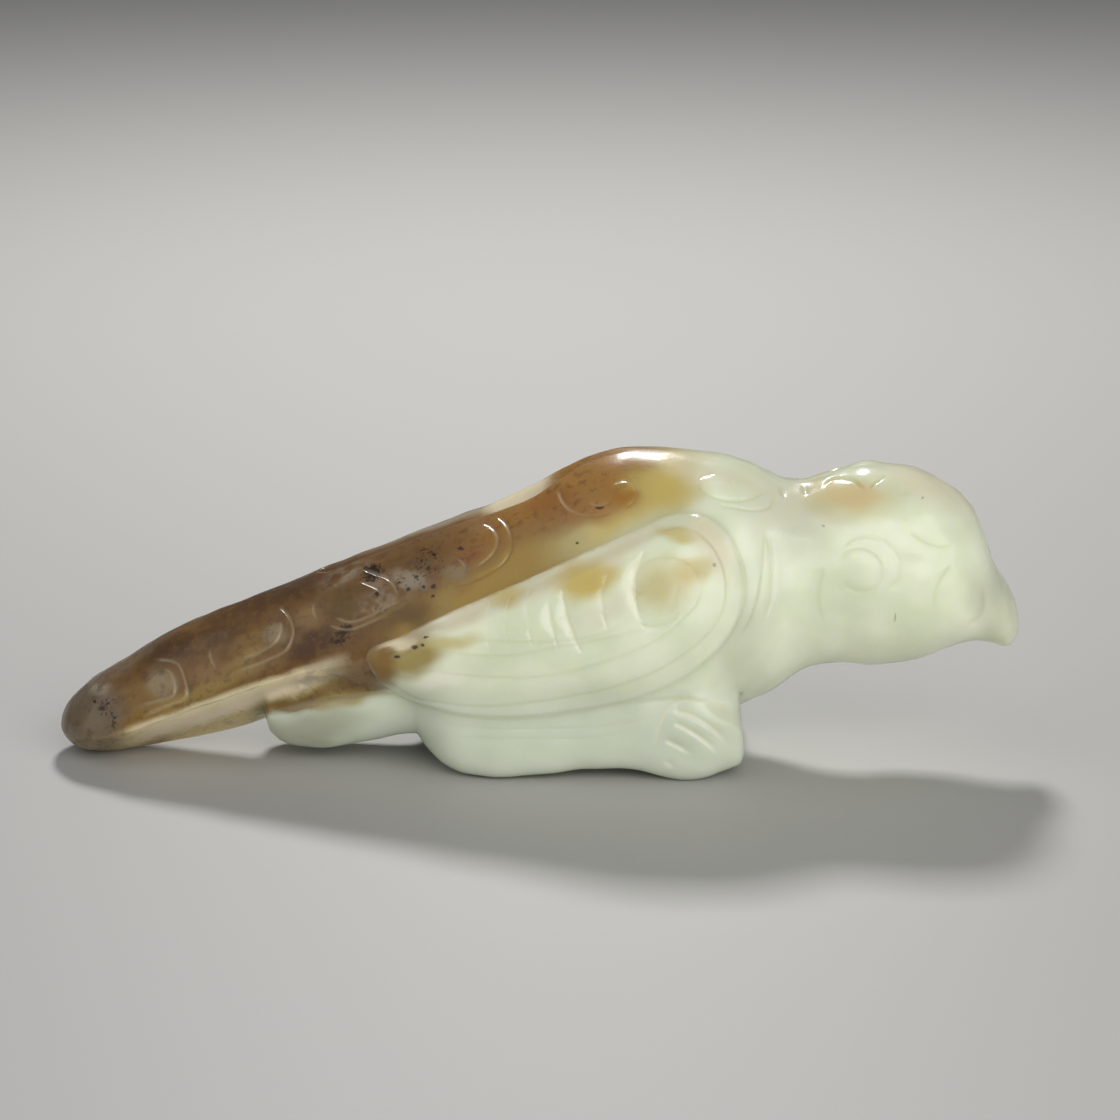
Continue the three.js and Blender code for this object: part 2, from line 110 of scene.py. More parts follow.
BREAST_HEIGHTS = (3.2, 7.0)

# Wedge between the legs: half width and height at its top, how fast it widens downwards, its back end
GAP_TOP = 0.3
GAP_HEIGHT = 2.8
GAP_FLARE = 0.263
GAP_BACK = -8.6
GAP_RUNOUT = 0.6
GAP_EDGE = 0.3

# The folded wing: outline from its tip along the upper edge and back below, as (place, rise)
WING_OUTLINE = [
    (-11.4, 6.3), (-8.6, 8.0), (-0.9, 11.5), (6.7, 14.9), (9.2, 15.9), (11.0, 15.8), (12.5, 14.7), (13.3, 12.9),
    (13.6, 10.9), (13.1, 8.9), (12.1, 7.3), (10.1, 5.4), (6.8, 3.8), (3.4, 3.0), (0.1, 2.5),
    (-3.3, 2.4), (-5.9, 2.7), (-8.0, 3.3), (-9.7, 4.2), (-11.0, 5.5),
]
WING_STEP = 0.34
WING_LIFT = 0.45
WING_EDGE = 0.55
WING_BULGE = 2.6
WING_TOP = (0.466, 11.6)  # slope and height of the line along its upper edge

# A cut line: half width and depth of its trough, how deep the stone beside it is dressed down (on its left if
# positive, on its right if negative) and within what reach, and the length over which its ends run out
FEATHER_CUT = dict(half=0.15, depth=0.025, step=0.055, reach=1.3, ends=(1.5, 2.5))
RIM_CUT = dict(half=0.17, depth=0.035, step=0.07, reach=0.9, ends=(1.0, 2.5))
SCALE_CUT = dict(half=0.13, depth=0.05, step=0.08, reach=0.6, ends=(0.5, 0.7))
LAPPET_CUT = dict(half=0.13, depth=0.1, step=0.03, reach=0.6, ends=(0.7, 1.2))
FACE_CUT = dict(half=0.2, depth=0.03, step=-0.07, reach=1.0, ends=(0.9, 0.9))
COLLAR_CUT = dict(half=0.18, depth=0.05, step=0.13, reach=1.3, ends=(0.8, 2.0))
FOOT_CUT = dict(half=0.15, depth=0.04, step=0.2, reach=0.8, ends=(0.4, 1.2))
LEAF_CUT = dict(half=0.14, depth=0.06, step=0.05, reach=0.6, ends=(0.4, 0.5))
FAINT_CUT = dict(half=0.13, depth=0.02, step=0.02, reach=0.5, ends=(2.0, 2.0))

CUT_LINES = [
    # long feathers of the wing, from the front back to the tip, upper ones first
    ([(5.7, 8.9), (4.1, 8.1), (1.4, 7.7), (-1.2, 7.6), (-4.2, 7.7), (-6.6, 7.9)], FEATHER_CUT),
    ([(7.4, 8.6), (4.7, 7.9), (1.4, 7.3), (-2.6, 6.7), (-5.2, 6.8), (-7.6, 7.1)], FEATHER_CUT),
    # oval scroll at the shoulder, which runs out into the third feather
    ([(6.3, 11.7), (7.2, 12.7), (8.9, 12.95), (10.0, 12.5), (10.65, 11.3), (10.5, 10.2), (9.5, 9.1), (8.1, 7.95),
      (5.7, 6.85), (4.1, 6.3), (0.1, 5.45), (-3.9, 5.4), (-6.6, 5.7), (-8.6, 6.1)], FEATHER_CUT),
    # rim round the front and along the lower edge
    ([(7.7, 14.65), (9.0, 14.9), (10.2, 14.65), (11.4, 13.7), (12.2, 12.0), (12.25, 10.2), (11.5, 8.6),
      (10.1, 7.2), (8.1, 5.95), (5.4, 4.9), (2.8, 4.2), (0.0, 3.65), (-2.6, 3.3), (-5.9, 3.4), (-8.0, 3.9),
      (-9.6, 4.9), (-10.6, 5.9)], RIM_CUT),
    # inside the scroll
    ([(8.9, 12.3), (9.15, 11.3), (9.0, 10.3), (8.5, 9.4), (7.7, 8.9)], FAINT_CUT),
    ([(6.5, 8.8), (7.4, 8.6), (8.6, 8.9), (9.4, 9.6)], SCALE_CUT),
]
# Crescent hollows: outer edge, inner edge, depth at the inner one. The large one lies behind the scroll and the
# rest are the short feathers between the wing's upper edge and its long feathers.
CRESCENTS = [
    ([(6.6, 12.95), (5.95, 12.3), (5.55, 11.4), (5.7, 10.4), (6.35, 9.3), (6.8, 8.75)],
     [(6.75, 12.75), (6.45, 12.1), (6.32, 11.2), (6.35, 10.4), (6.6, 9.5), (6.9, 8.8)], 0.26),
    ([(4.2, 11.3), (3.75, 10.5), (4.1, 9.5)], [(4.4, 11.2), (4.2, 10.5), (4.35, 9.6)], 0.09),
    ([(1.45, 10.2), (1.2, 9.1), (2.0, 8.0)], [(1.8, 10.05), (1.95, 9.1), (2.35, 8.2)], 0.2),
    ([(0.7, 10.4), (0.2, 9.1), (0.95, 7.85)], [(0.8, 10.3), (0.85, 9.15), (1.15, 8.0)], 0.17),
    ([(-0.75, 10.4), (-1.0, 9.5), (-0.7, 8.4)], [(-0.6, 10.3), (-0.62, 9.4), (-0.5, 8.5)], 0.12),
    ([(-2.2, 9.3), (-2.4, 8.5), (-2.1, 7.7)], [(-2.0, 9.2), (-2.08, 8.5), (-1.95, 7.8)], 0.07),
    ([(-3.5, 9.2), (-3.68, 8.5), (-3.45, 7.7)], [(-3.3, 9.1), (-3.38, 8.5), (-3.28, 7.8)], 0.07),
]

CRESCENT_WALL = 0.16
GROUND_DEPTH = 0.26

# Scrolled lappets down the tail, front ones first: outer line, inner line, then the line behind
LAPPET_LINES = [
    [(-2.95, 15.9), (-2.2, 15.3), (-1.85, 14.4), (-1.85, 13.5), (-2.4, 12.6), (-3.6, 11.85), (-5.9, 11.0)],
    [(-3.8, 15.35), (-3.05, 15.0), (-2.72, 14.2), (-2.95, 13.4), (-3.75, 12.65), (-4.7, 12.0)],
    [(-5.8, 13.0), (-5.2, 12.8), (-4.85, 12.3), (-5.1, 11.7)],
    [(-12.0, 12.3), (-11.0, 12.0), (-10.0, 11.6), (-9.55, 10.9), (-9.4, 9.9)],
    [(-12.2, 11.5), (-11.4, 11.3), (-10.7, 10.9), (-10.4, 10.1)],
    [(-14.3, 8.6), (-12.7, 8.25), (-11.3, 8.7), (-10.0, 9.3), (-8.3, 10.1)],
    [(-13.9, 9.1), (-12.6, 8.75), (-11.3, 9.15), (-10.1, 9.75), (-8.7, 10.4)],
    [(-15.1, 10.3), (-15.05, 9.4), (-14.6, 8.5)],
    [(-17.6, 9.9), (-16.9, 9.3), (-16.4, 7.9), (-16.7, 7.0), (-18.1, 6.2), (-20.7, 5.3)],
    [(-17.6, 9.1), (-17.3, 8.7), (-17.4, 7.6), (-18.6, 6.75), (-20.4, 6.05)],
    [(-22.25, 7.2), (-22.0, 6.2), (-21.3, 5.1)],
    [(-26.0, 5.95), (-25.2, 6.1), (-24.3, 5.9), (-23.8, 4.9), (-23.6, 3.8), (-24.9, 3.15), (-26.9, 2.25)],
    [(-25.6, 5.35), (-24.9, 5.4), (-24.45, 4.7), (-24.4, 3.95), (-25.6, 3.4), (-27.3, 3.1)],
]
# Domed fields inside the lappets: middle (place, rise), half length, half height, slope of the long axis
LAPPET_FIELDS = [
    (-4.5, 13.7, 2.0, 1.3, 0.42), (-12.0, 10.0, 2.2, 1.2, 0.42),
    (-19.0, 7.7, 2.4, 1.1, 0.42), (-26.0, 4.5, 1.9, 1.0, 0.45),
]
FIELD_HEIGHT = 0.12

# Edge that runs down the tail, with a hollow bevel below it, and the crease between tail and lobe
TAIL_EDGE = [(-30.2, 0.8), (-27.6, 1.35), (-23.5, 2.85), (-20.1, 4.15), (-16.0, 5.5), (-12.4, 6.45)]
TAIL_BEVEL = dict(half=0.3, depth=0.0, step=-0.18, reach=1.8, ends=(2.5, 2.5))
LOBE_CREASE = [(-18.4, 2.3), (-15.5, 3.15), (-12.7, 3.65), (-10.0, 3.8), (-8.6, 3.4)]
CREASE_CUT = dict(half=0.3, depth=0.16, step=-0.05, reach=0.8, ends=(1.0, 1.5))

FACE_LINES = [
    # lower lid, brow, corner of the beak, fold of the hook
    ([(24.5, 15.0), (25.1, 14.35), (25.9, 13.9), (26.9, 13.7), (27.9, 13.95)], FACE_CUT),
    ([(23.8, 17.1), (24.5, 17.5), (25.4, 17.35)], FACE_CUT),
    ([(27.6, 12.7), (27.0, 11.9), (26.5, 10.9), (26.35, 9.2)], dict(FACE_CUT, step=0.1, reach=0.9)),
    ([(29.75, 11.3), (30.0, 9.9), (29.6, 8.9), (28.6, 8.2)], dict(FACE_CUT, step=-0.14, reach=0.8)),
    # curl on the cheek
    ([(19.2, 8.4), (18.75, 9.6), (18.7, 11.0), (19.0, 12.6)], dict(FACE_CUT, step=0.07)),
    ([(20.0, 13.6), (20.9, 14.25), (22.1, 14.4), (23.3, 13.8), (24.0, 12.5), (23.8, 11.4), (23.1, 10.8)],
     dict(FACE_CUT, step=0.06)),
    ([(20.0, 12.4), (20.3, 13.2), (21.3, 13.55), (22.4, 13.1), (22.85, 12.0), (22.3, 11.0), (20.9, 10.85),
      (20.1, 11.6)], FACE_CUT),
    # folds across the nape, crest feathers
    ([(16.2, 18.1), (16.3, 17.5), (16.45, 16.9)], dict(FACE_CUT, half=0.3, depth=0.1, step=0.1)),
    ([(17.7, 18.1), (17.8, 17.6), (17.95, 17.1)], dict(FACE_CUT, half=0.3, depth=0.1, step=0.1)),
    ([(18.9, 17.6), (19.6, 18.3), (20.9, 18.25), (21.9, 17.45)], dict(FACE_CUT, depth=0.14)),
    ([(21.9, 17.45), (22.5, 18.1), (23.4, 18.6)], dict(FACE_CUT, depth=0.14)),
]
COLLAR_LINES = [
    ([(15.0, 15.0), (14.95, 13.4), (14.8, 11.6), (14.2, 9.2), (13.0, 7.3)], COLLAR_CUT),
    ([(15.25, 15.0), (15.6, 12.6), (15.5, 10.4), (14.9, 8.4)], dict(COLLAR_CUT, step=-0.1)),
]
LEAF_LINES = [
    # leaf scroll behind the nape
    ([(10.6, 18.3), (11.2, 18.6), (11.9, 18.7)], LEAF_CUT),
    ([(10.6, 18.1), (10.8, 17.6), (11.4, 17.15), (12.7, 16.8), (14.1, 16.9), (15.05, 17.4)], LEAF_CUT),
    ([(12.0, 16.55), (13.4, 16.3), (14.6, 16.2), (15.5, 16.5), (15.8, 17.2)], dict(LEAF_CUT, step=-0.05)),
    ([(12.6, 18.5), (12.75, 18.1), (12.7, 17.6)], FAINT_CUT),
    # curled covert over the back
    ([(1.3, 17.6), (1.5, 16.95), (2.0, 16.3), (2.7, 15.9), (3.9, 15.8), (5.0, 16.1)], LEAF_CUT),
    ([(3.2, 16.65), (3.9, 16.45), (4.9, 16.7)], LEAF_CUT),
    ([(4.9, 17.8), (5.4, 18.05), (5.9, 18.1), (6.35, 17.85), (6.6, 17.3), (6.3, 16.75), (5.7, 16.3)], LEAF_CUT),
]
FOOT_LINES = [
    ([(10.3, 3.7), (8.9, 3.2), (8.1, 2.0), (7.7, 0.4)], dict(FOOT_CUT, step=-0.14)),
    ([(6.0, 3.2), (7.4, 3.5), (9.4, 3.6), (11.5, 3.4), (13.2, 3.05)],
     dict(FOOT_CUT, half=0.22, depth=0.08, step=-0.32, reach=2.0, ends=(2.0, 1.2))),
    ([(8.9, 2.75), (10.1, 2.5), (11.3, 1.8), (12.6, 0.6)], dict(FOOT_CUT, step=0.24)),
    ([(8.9, 2.05), (9.9, 1.6), (11.1, 0.8), (12.0, -0.1)], FOOT_CUT),
    ([(8.3, 0.85), (9.4, 0.35), (10.4, -0.2)], dict(FOOT_CUT, step=0.16)),
    ([(8.2, -0.6), (9.2, -1.05)], dict(FOOT_CUT, step=0.08)),
]
LEG_LINES = [
    ([(-7.0, 1.9), (-2.0, 1.6), (3.0, 1.7), (8.0, 2.3)], FAINT_CUT),
    ([(-6.4, 1.1), (-2.0, 0.95), (3.0, 1.0), (6.6, 1.4)], FAINT_CUT),
]

# Domes: middle (place, rise), half length, half height, turn in degrees, height
DOMES = [
    (26.0, 15.9, 2.3, 2.0, -15, 0.34),    # eye under the brow
    (21.5, 12.1, 2.2, 2.2, 0, 0.08),      # curl on the cheek
    (10.6, 1.7, 2.9, 2.2, -35, 0.3),      # foot
    (12.8, 17.6, 2.8, 1.0, -12, 0.2),     # leaf behind the nape
    (-13.5, 1.9, 4.6, 1.5, 12, 0.12),     # lobe under the tail
    (21.9, 18.5, 1.5, 0.9, 0, 0.16),      # crest
]
# Hollows, given the same way
HOLLOWS = [
    (16.6, 12.4, 1.4, 3.4, 5, 0.16),      # neck in front of the collar
    (24.6, 12.4, 1.1, 1.9, -20, 0.1),     # between cheek and beak
    (26.0, 12.9, 2.0, 0.9, 8, 0.08),      # under the eye
]

# The mound of curled coverts over the back: its middle along the body, how far it reaches behind and ahead of that
# and to either side, and its height
BACK_MOUND = (3.9, 4.5, 5.6, 5.6, 0.4)
# Hollow along the spine: place, half width, depth
SPINE_HOLLOW = [
    (-30.0, 0.6, 0.0), (-26.0, 0.8, 0.16), (-16.0, 0.95, 0.26), (-6.0, 1.1, 0.34), (-2.4, 1.5, 0.5),
    (-0.8, 1.9, 0.75), (0.8, 1.5, 0.5), (2.6, 1.0, 0.25), (6.0, 0.7, 0.0),
]

# Spacing of the carved surface, along and round the body, and how much of it the underside keeps
COLUMN_STEP = 0.085
ROWS = 300
UNDERSIDE_SHARE = 0.35
UNDERSIDE_ANGLES = (-80, -55)
KEPT_TRIANGLES = 190000
PATH_STEP = 0.14
BACK_FROM = 12.0

# Waves of the hand polish: wavelength and height
POLISH_WAVES = [(7.0, 0.03), (3.1, 0.012), (1.5, 0.005)]
POLISH_SEED = 11
# Waves that make the edges of the stains uneven
STAIN_WAVES = [(9.0, 0.1), (4.0, 0.07), (1.9, 0.045), (1.0, 0.03)]
NEAR_SEED = 3
FAR_SEED = 5
WAVE_DIRECTIONS = 4
# strength of the painted highlight along the tail's bevel
BEVEL_HIGHLIGHT_STRENGTH = 0.95


def colour(red, green, blue):
    """Linear colour of a screen colour given as 0 to 255."""
    def linear(value):
        value /= 255
        return value / 12.92 if value <= 0.04045 else ((value + 0.055) / 1.055) ** 2.4
    return tuple(linear(v) for v in (red, green, blue))


# Colours of the stone, as a screen shows them
PALE = colour(237, 241, 217)
GREEN = colour(225, 231, 203)
# painted shade for the lower body
LOW_SHADE = colour(213, 221, 202)
BEIGE = colour(218, 212, 190)
OLIVE = colour(192, 186, 138)
STRAW = colour(212, 204, 156)
HONEY = colour(204, 192, 134)
OCHRE = colour(207, 186, 110)
BLUSH = colour(222, 212, 184)
# cream of clear stone, also laid as painted highlight
CREAM_AND_HIGHLIGHT = colour(234, 222, 192)
AMBER = colour(168, 120, 52)
RUSSET = colour(150, 96, 46)
LOBE_BROWN = colour(170, 126, 66)
TAIL_BROWN = colour(122, 91, 54)
DARK_BROWN = colour(84, 58, 34)
GOLD = colour(167, 134, 54)
TIP_GOLD = colour(165, 146, 85)
DOME_BROWN = colour(112, 86, 44)
# white of matt ground stone, also laid as painted highlight and painted sheen
GROUND_AND_HIGHLIGHT = colour(250, 249, 232)
UNDER_TAIL = colour(200, 180, 118)
GOLD_BROWN = colour(140, 108, 54)
OLIVE_BROWN = colour(164, 142, 84)
CLAY = colour(162, 134, 104)
FAWN = colour(150, 122, 80)
FIELD = colour(152, 136, 106)
ASH = colour(140, 124, 104)
TIP_GREY = colour(120, 106, 86)
WHITE_GREY = colour(170, 158, 139)
SHADE = colour(196, 197, 174)
# painted shade for the lobe under the tail
LOBE_SHADE = colour(178, 180, 159)
PEACH = colour(224, 202, 154)
INK = colour(44, 22, 8)

# Straight lines on the drawing plane, as a point and a slope: the tail's edge, how much steeper the wing's upper
# edge is, and the crease over the lobe
SKIN_EDGE = ((-12.4, 6.6), 0.342)
WING_STEEPER = 0.12
LOBE_LINE = ((-18.1, 2.55), 0.22)

# Stains of the near flank, with painted shade and painted highlights among them, in the order they lie over
# each other: colour, middle, half sizes, turn in degrees, softness, strength
TAIL_STAINS_AND_SHADE = [
    # painted shade on the lobe under the tail
    (LOBE_SHADE, (-14.89, 1.64), (3.09, 1.34), 12, 1.3, 0.9),
    (TIP_GREY, (-30.38, 2.24), (2.42, 2.69), 0, 0.9, 0.9),
    (ASH, (-27.55, 6.02), (2.69, 0.54), 34, 1.2, 0.5),
    (DARK_BROWN, (-24.72, 6.96), (2.02, 0.87), 24, 1.2, 0.8),
    (DARK_BROWN, (-21.62, 7.77), (1.34, 0.67), 24, 1.2, 0.5),
    (GOLD_BROWN, (-26.88, 3.66), (0.94, 0.94), 10, 1.0, 0.75),
    (FIELD, (-25.26, 4.54), (1.07, 0.81), 20, 0.9, 0.9),
    (GOLD_BROWN, (-25.67, 2.38), (2.28, 0.47), 16, 1.0, 0.85),
    (FAWN, (-22.43, 5.34), (0.87, 0.87), 20, 1.2, 0.6),
    (GOLD_BROWN, (-19.8, 6.76), (1.48, 0.67), 24, 1.1, 0.75),
    (FIELD, (-17.92, 7.63), (0.81, 0.54), 30, 0.8, 0.85),
    (OLIVE_BROWN, (-20.14, 5.88), (1.75, 0.34), 22, 1.2, 0.6),
    (OLIVE_BROWN, (-22.36, 4.13), (4.17, 0.47), 20, 1.4, 0.7),
    (DARK_BROWN, (-15.16, 7.36), (1.88, 0.87), 24, 1.0, 0.9),
    (FAWN, (-15.29, 9.25), (0.94, 0.81), 10, 1.2, 0.7),
    (DOME_BROWN, (-12.86, 9.93), (1.41, 1.14), 15, 0.9, 0.95),
    (DOME_BROWN, (-16.23, 3.52), (2.69, 0.6), 15, 1.0, 0.9),
    (OLIVE_BROWN, (-13.0, 3.73), (2.28, 0.6), 10, 1.1, 0.8),
    # painted shade along the top of the tail
    (DARK_BROWN, (-17.45, 10.73), (5.04, 0.81), 24, 1.2, 0.75),
    (CLAY, (-11.92, 5.34), (0.94, 0.67), 15, 1.1, 0.5),
    (GOLD_BROWN, (-26.07, 0.69), (1.14, 0.27), 12, 1.0, 0.6),
    (DARK_BROWN, (-8.55, 8.85), (2.15, 0.67), 24, 1.6, 0.7),
    (OLIVE_BROWN, (-6.26, 10.13), (0.67, 1.21), 0, 1.2, 0.75),
    (FIELD, (-5.59, 12.15), (0.94, 0.54), 12, 1.0, 0.8),
    (RUSSET, (-4.64, 13.23), (0.94, 0.47), 20, 1.1, 0.75),
]
# Cloudy and speckled places, given the same way but dark or else grey
MARBLED = [
    ((-13.07, 11.81), (1.61, 0.6), 26, 1.2, 0.7, False),
    ((-8.62, 11.34), (1.14, 0.74), -5, 1.1, 0.95, False),
    ((-14.35, 5.61), (2.15, 0.67), 20, 1.1, 0.75, False),
    ((-10.17, 9.79), (1.75, 0.74), 22, 1.2, 0.6, False),
    ((-29.37, 4.13), (0.74, 0.54), 0, 1.2, 0.9, False),
    ((-10.44, 11.14), (0.67, 0.47), -20, 1.0, 0.5, False),
    ((-7.61, 12.89), (1.01, 1.48), 0, 1.2, 0.45, True),
    ((-11.11, 11.68), (0.81, 0.67), 10, 1.5, 1.0, True),
    ((-12.73, 8.04), (0.87, 0.4), 50, 1.5, 0.9, True),
    ((-13.61, 7.57), (0.67, 0.34), 10, 1.2, 0.6, True),
    ((-10.17, 8.98), (0.81, 0.34), 25, 1.2, 0.5, True),
    ((-29.17, 2.92), (0.74, 0.54), 30, 1.5, 0.6, True),
    ((-28.7, 2.11), (0.34, 0.6), -15, 1.5, 0.6, True),
]
WING_STAINS_AND_HIGHLIGHTS = [
    (BLUSH, (2.08, 12.09), (7.79, 0.81), 25, 1.1, 0.75),
    (BLUSH, (11.51, 14.22), (1.07, 2.42), 28, 1.1, 0.75),
    (TIP_GOLD, (-8.54, 6.58), (2.15, 1.14), 20, 0.9, 0.95),
    (GOLD_BROWN, (-10.6, 5.99), (0.94, 1.61), 22, 0.8, 0.95),
    # painted highlight on the bevelled upper edge at the wing's tip
    (CREAM_AND_HIGHLIGHT, (-9.34, 7.14), (1.34, 0.3), 22, 0.7, 0.85),
    (HONEY, (-5.75, 7.51), (1.61, 0.47), 5, 1.2, 0.75),
    (CLAY, (-7.61, 8.24), (1.34, 0.4), 24, 1.2, 0.6),
    (BLUSH, (-4.82, 9.44), (2.28, 0.6), 24, 1.2, 0.7),
    # painted sheen near the wing's tip
    (GROUND_AND_HIGHLIGHT, (-6.75, 5.12), (1.61, 0.54), 8, 1.2, 0.7),
    (OCHRE, (-2.03, 10.17), (1.01, 0.74), 0, 1.2, 0.75),
    (BEIGE, (4.47, 9.7), (2.02, 0.81), 14, 1.3, 0.5),
    (OCHRE, (2.88, 11.69), (2.02, 1.14), 12, 1.1, 0.95),
    (OCHRE, (9.32, 14.48), (1.14, 0.47), -10, 1.2, 0.7),
    (STRAW, (8.06, 11.16), (2.42, 1.75), 10, 0.9, 0.6),
    (HONEY, (7.86, 10.83), (1.34, 0.94), 10, 1.3, 0.6),
    (OCHRE, (10.05, 12.09), (1.14, 0.74), 20, 1.3, 0.65),
    (HONEY, (11.11, 12.49), (0.81, 0.6), 30, 1.1, 0.6),
]
BACK_STAINS_AND_SHADE = [
    (LOBE_BROWN, (3.49, 17.17), (2.96, 1.68), -6, 0.9, 0.95),
    (RUSSET, (1.15, 16.77), (1.75, 0.94), 20, 1.3, 0.5),
    (AMBER, (5.84, 16.97), (0.81, 0.67), 0, 1.1, 0.85),
    (OCHRE, (8.25, 17.84), (2.28, 1.01), -10, 1.2, 0.7),
    (BLUSH, (11.12, 18.91), (4.03, 0.87), -14, 1.2, 0.5),
    (BEIGE, (17.48, 16.57), (3.09, 1.61), 0, 1.3, 0.6),
    (STRAW, (20.29, 17.11), (2.82, 1.34), -4, 1.3, 0.7),
    (PEACH, (20.69, 17.31), (2.02, 0.81), -4, 1.3, 0.75),
    # painted shade on the neck, the breast and the leg
    (SHADE, (17.48, 13.89), (1.75, 1.34), 0, 1.3, 0.4),
    (SHADE, (13.6, 7.54), (1.75, 3.09), 0, 1.4, 0.4),
    (SHADE, (12.26, 2.05), (2.28, 1.07), 0, 1.4, 0.4),
    (BLUSH, (26.18, 18.04), (3.69, 1.48), -22, 1.3, 0.65),
    # painted shade on the beak
    (SHADE, (30.86, 9.95), (1.61, 2.55), 20, 1.2, 0.6),
]
# Small dark flecks: middle, half sizes
SPECK_FADE = 10.0
SPECKS = [
    ((-29.48, 2.88), (0.23, 0.17)), ((-29.95, 3.32), (0.1, 0.09)), ((-8.19, 11.75), (0.15, 0.13)),
    ((-8.69, 10.94), (0.15, 0.16)), ((-7.65, 11.08), (0.11, 0.11)), ((-7.01, 11.14), (0.16, 0.15)),
    ((-7.04, 10.47), (0.12, 0.11)), ((-6.98, 13.23), (0.15, 0.13)), ((-7.82, 12.86), (0.11, 0.11)),
    ((-7.38, 12.35), (0.15, 0.13)), ((-10.81, 10.61), (0.16, 0.15)), ((-8.25, 7.11), (0.23, 0.14)),
    ((-7.69, 7.21), (0.13, 0.1)), ((-9.43, 6.44), (0.19, 0.11)), ((-7.48, 7.75), (0.2, 0.07)),
    ((-5.2, 13.66), (0.23, 0.13)), ((4.04, 16.35), (0.28, 0.1)), ((18.94, 15.17), (0.09, 0.08)),
    ((25.57, 17.06), (0.09, 0.08)), ((23.79, 9.06), (0.06, 0.28)), ((11.6, 12.55), (0.13, 0.12)),
    ((2.56, 14.03), (0.12, 0.08)),
]


def through(rows, x):
    """Smooth curve through every row: a cubic between rows, whose slope at a row is the mean of the slopes on
    either side of it, each weighted by the other side's length."""
    table = np.array(rows, float)
    at, values = table[:, 0], table[:, 1:]
    length = np.diff(at)[:, None]
    slope = np.diff(values, axis=0) / length
    tangent = np.empty_like(values)
    tangent[0], tangent[-1] = slope[0], slope[-1]
    tangent[1:-1] = (slope[:-1] * length[1:] + slope[1:] * length[:-1]) / (length[:-1] + length[1:])
    x = np.clip(x, at[0], at[-1])
    i = np.clip(np.searchsorted(at, x) - 1, 0, len(at) - 2)
    h = length[i]
    t = ((x - at[i])[:, None]) / h
    start = values[i] * (2 * t**3 - 3 * t**2 + 1) + tangent[i] * h * (t**3 - 2 * t**2 + t)
    end = values[i + 1] * (3 * t**2 - 2 * t**3) + tangent[i + 1] * h * (t**3 - t**2)
    return start + end


def eased(rows, x, reach=0.7, count=9):
    """The curve through the rows averaged over a short stretch, so that it bends evenly from row to row."""
    offsets = np.linspace(-reach, reach, count)
    weights = 1 + np.cos(math.pi * offsets / (reach * 1.1))
    return sum(w * through(rows, x + o) for w, o in zip(weights, offsets)) / weights.sum()


def smoothstep(value, low, high):
    """0 below low, 1 above high, and 3t^2 - 2t^3 between them."""
    t = np.clip((value - low) / (high - low), 0, 1)
    return t * t * (3 - 2 * t)


def corner(t, up):
    """Rise of a quarter of an ellipse: none where t is 0 or less, all of it where t is 1 or more."""
    t = np.clip(t, 0, 1)
    return up * (1 - np.sqrt(1 - t * t))


def oval(cos, sin, half, height, power):
    """Distance from the middle of an oval to its edge, (|cos / half|^n + |sin / height|^n)^(-1/n)."""
    return (np.abs(cos / half) ** power + np.abs(sin / height) ** power) ** (-1 / power)


def rounded_max(a, b, width):
    """The larger of two distances, rounded within a width of where they cross."""
    overlap = np.clip(width - np.abs(a - b), 0, None)
    return np.maximum(a, b) + overlap**2 / (4 * width)


def rounded_min(a, b, width):
    """The smaller of two distances, rounded within a width of where they cross."""
    return -rounded_max(-a, -b, width)


def trunk_sizes(x):
    """Top, underside, half width, widest height and the two fullnesses of the trunk at places x. Towards the
    tips every size shrinks as a quarter of an ellipse does, onto the tip's own height."""
    top, under, half, widest, upper, lower = eased(TRUNK, x).T
    tail = np.clip((TAIL_TIP + TAIL_ROUND - x) / TAIL_ROUND, 0, 1)
    beak = np.clip((x - BEAK_TIP + BEAK_ROUND) / BEAK_ROUND, 0, 1)
    size = np.maximum(np.sqrt(1 - tail**2) * np.sqrt(1 - beak**2), 1e-5)
    tip = np.where(tail > 0, TAIL_TIP_HEIGHT, BEAK_TIP_HEIGHT)
    top = tip + (top - tip) * size
    under = tip + (under - tip) * size
    return top, under, half * size, under + widest * (top - under), upper, lower


def mass_sizes(x):
    """Half width, fullness and lowest height of the lobe, legs and feet at places x, and how far they have begun
    there (0 behind the lobe, 1 a short stretch ahead of that)."""
    at = np.clip(x, LOBE_BACK, TOE_FRONT)
    half, fullness = eased(UNDERSIDE, at, 0.25).T
    lobe = eased(LOBE_UNDERSIDE, at)[:, 0] + corner((LOBE_BACK + LOBE_ROUND[0] - at) / LOBE_ROUND[0], LOBE_ROUND[1])
    leg = eased(SOLE, at)[:, 0]
    leg = leg + corner((HEEL_BACK + HEEL_ROUND[0] - at) / HEEL_ROUND[0], HEEL_ROUND[1])
    leg = leg + corner((at - TOE_FRONT + TOE_ROUND[0]) / TOE_ROUND[0], TOE_ROUND[1])
    both = np.where(at > HEEL_BACK + HEEL_ROUND[0], leg, np.minimum(lobe, leg))
    bottom = np.where(at < HEEL_BACK, lobe, both)
    return half, fullness, bottom, smoothstep(x, LOBE_BACK, LOBE_BACK + LOBE_START)


def gap_distance(middle, cos, sin):
    """Distance from a section's middle to the wedge between the legs, along each angle: to its top, or where the
    ray meets its slanting wall, and endless where the ray never enters it."""
    down = np.maximum(-sin, 1e-6)
    slant = GAP_FLARE * down - np.abs(cos)
    wall = (GAP_FLARE * (middle - GAP_HEIGHT) - GAP_TOP) / np.maximum(slant, 1e-4)
    return np.where(slant > 1e-4, np.maximum((middle - GAP_HEIGHT) / down, wall), 1e3)


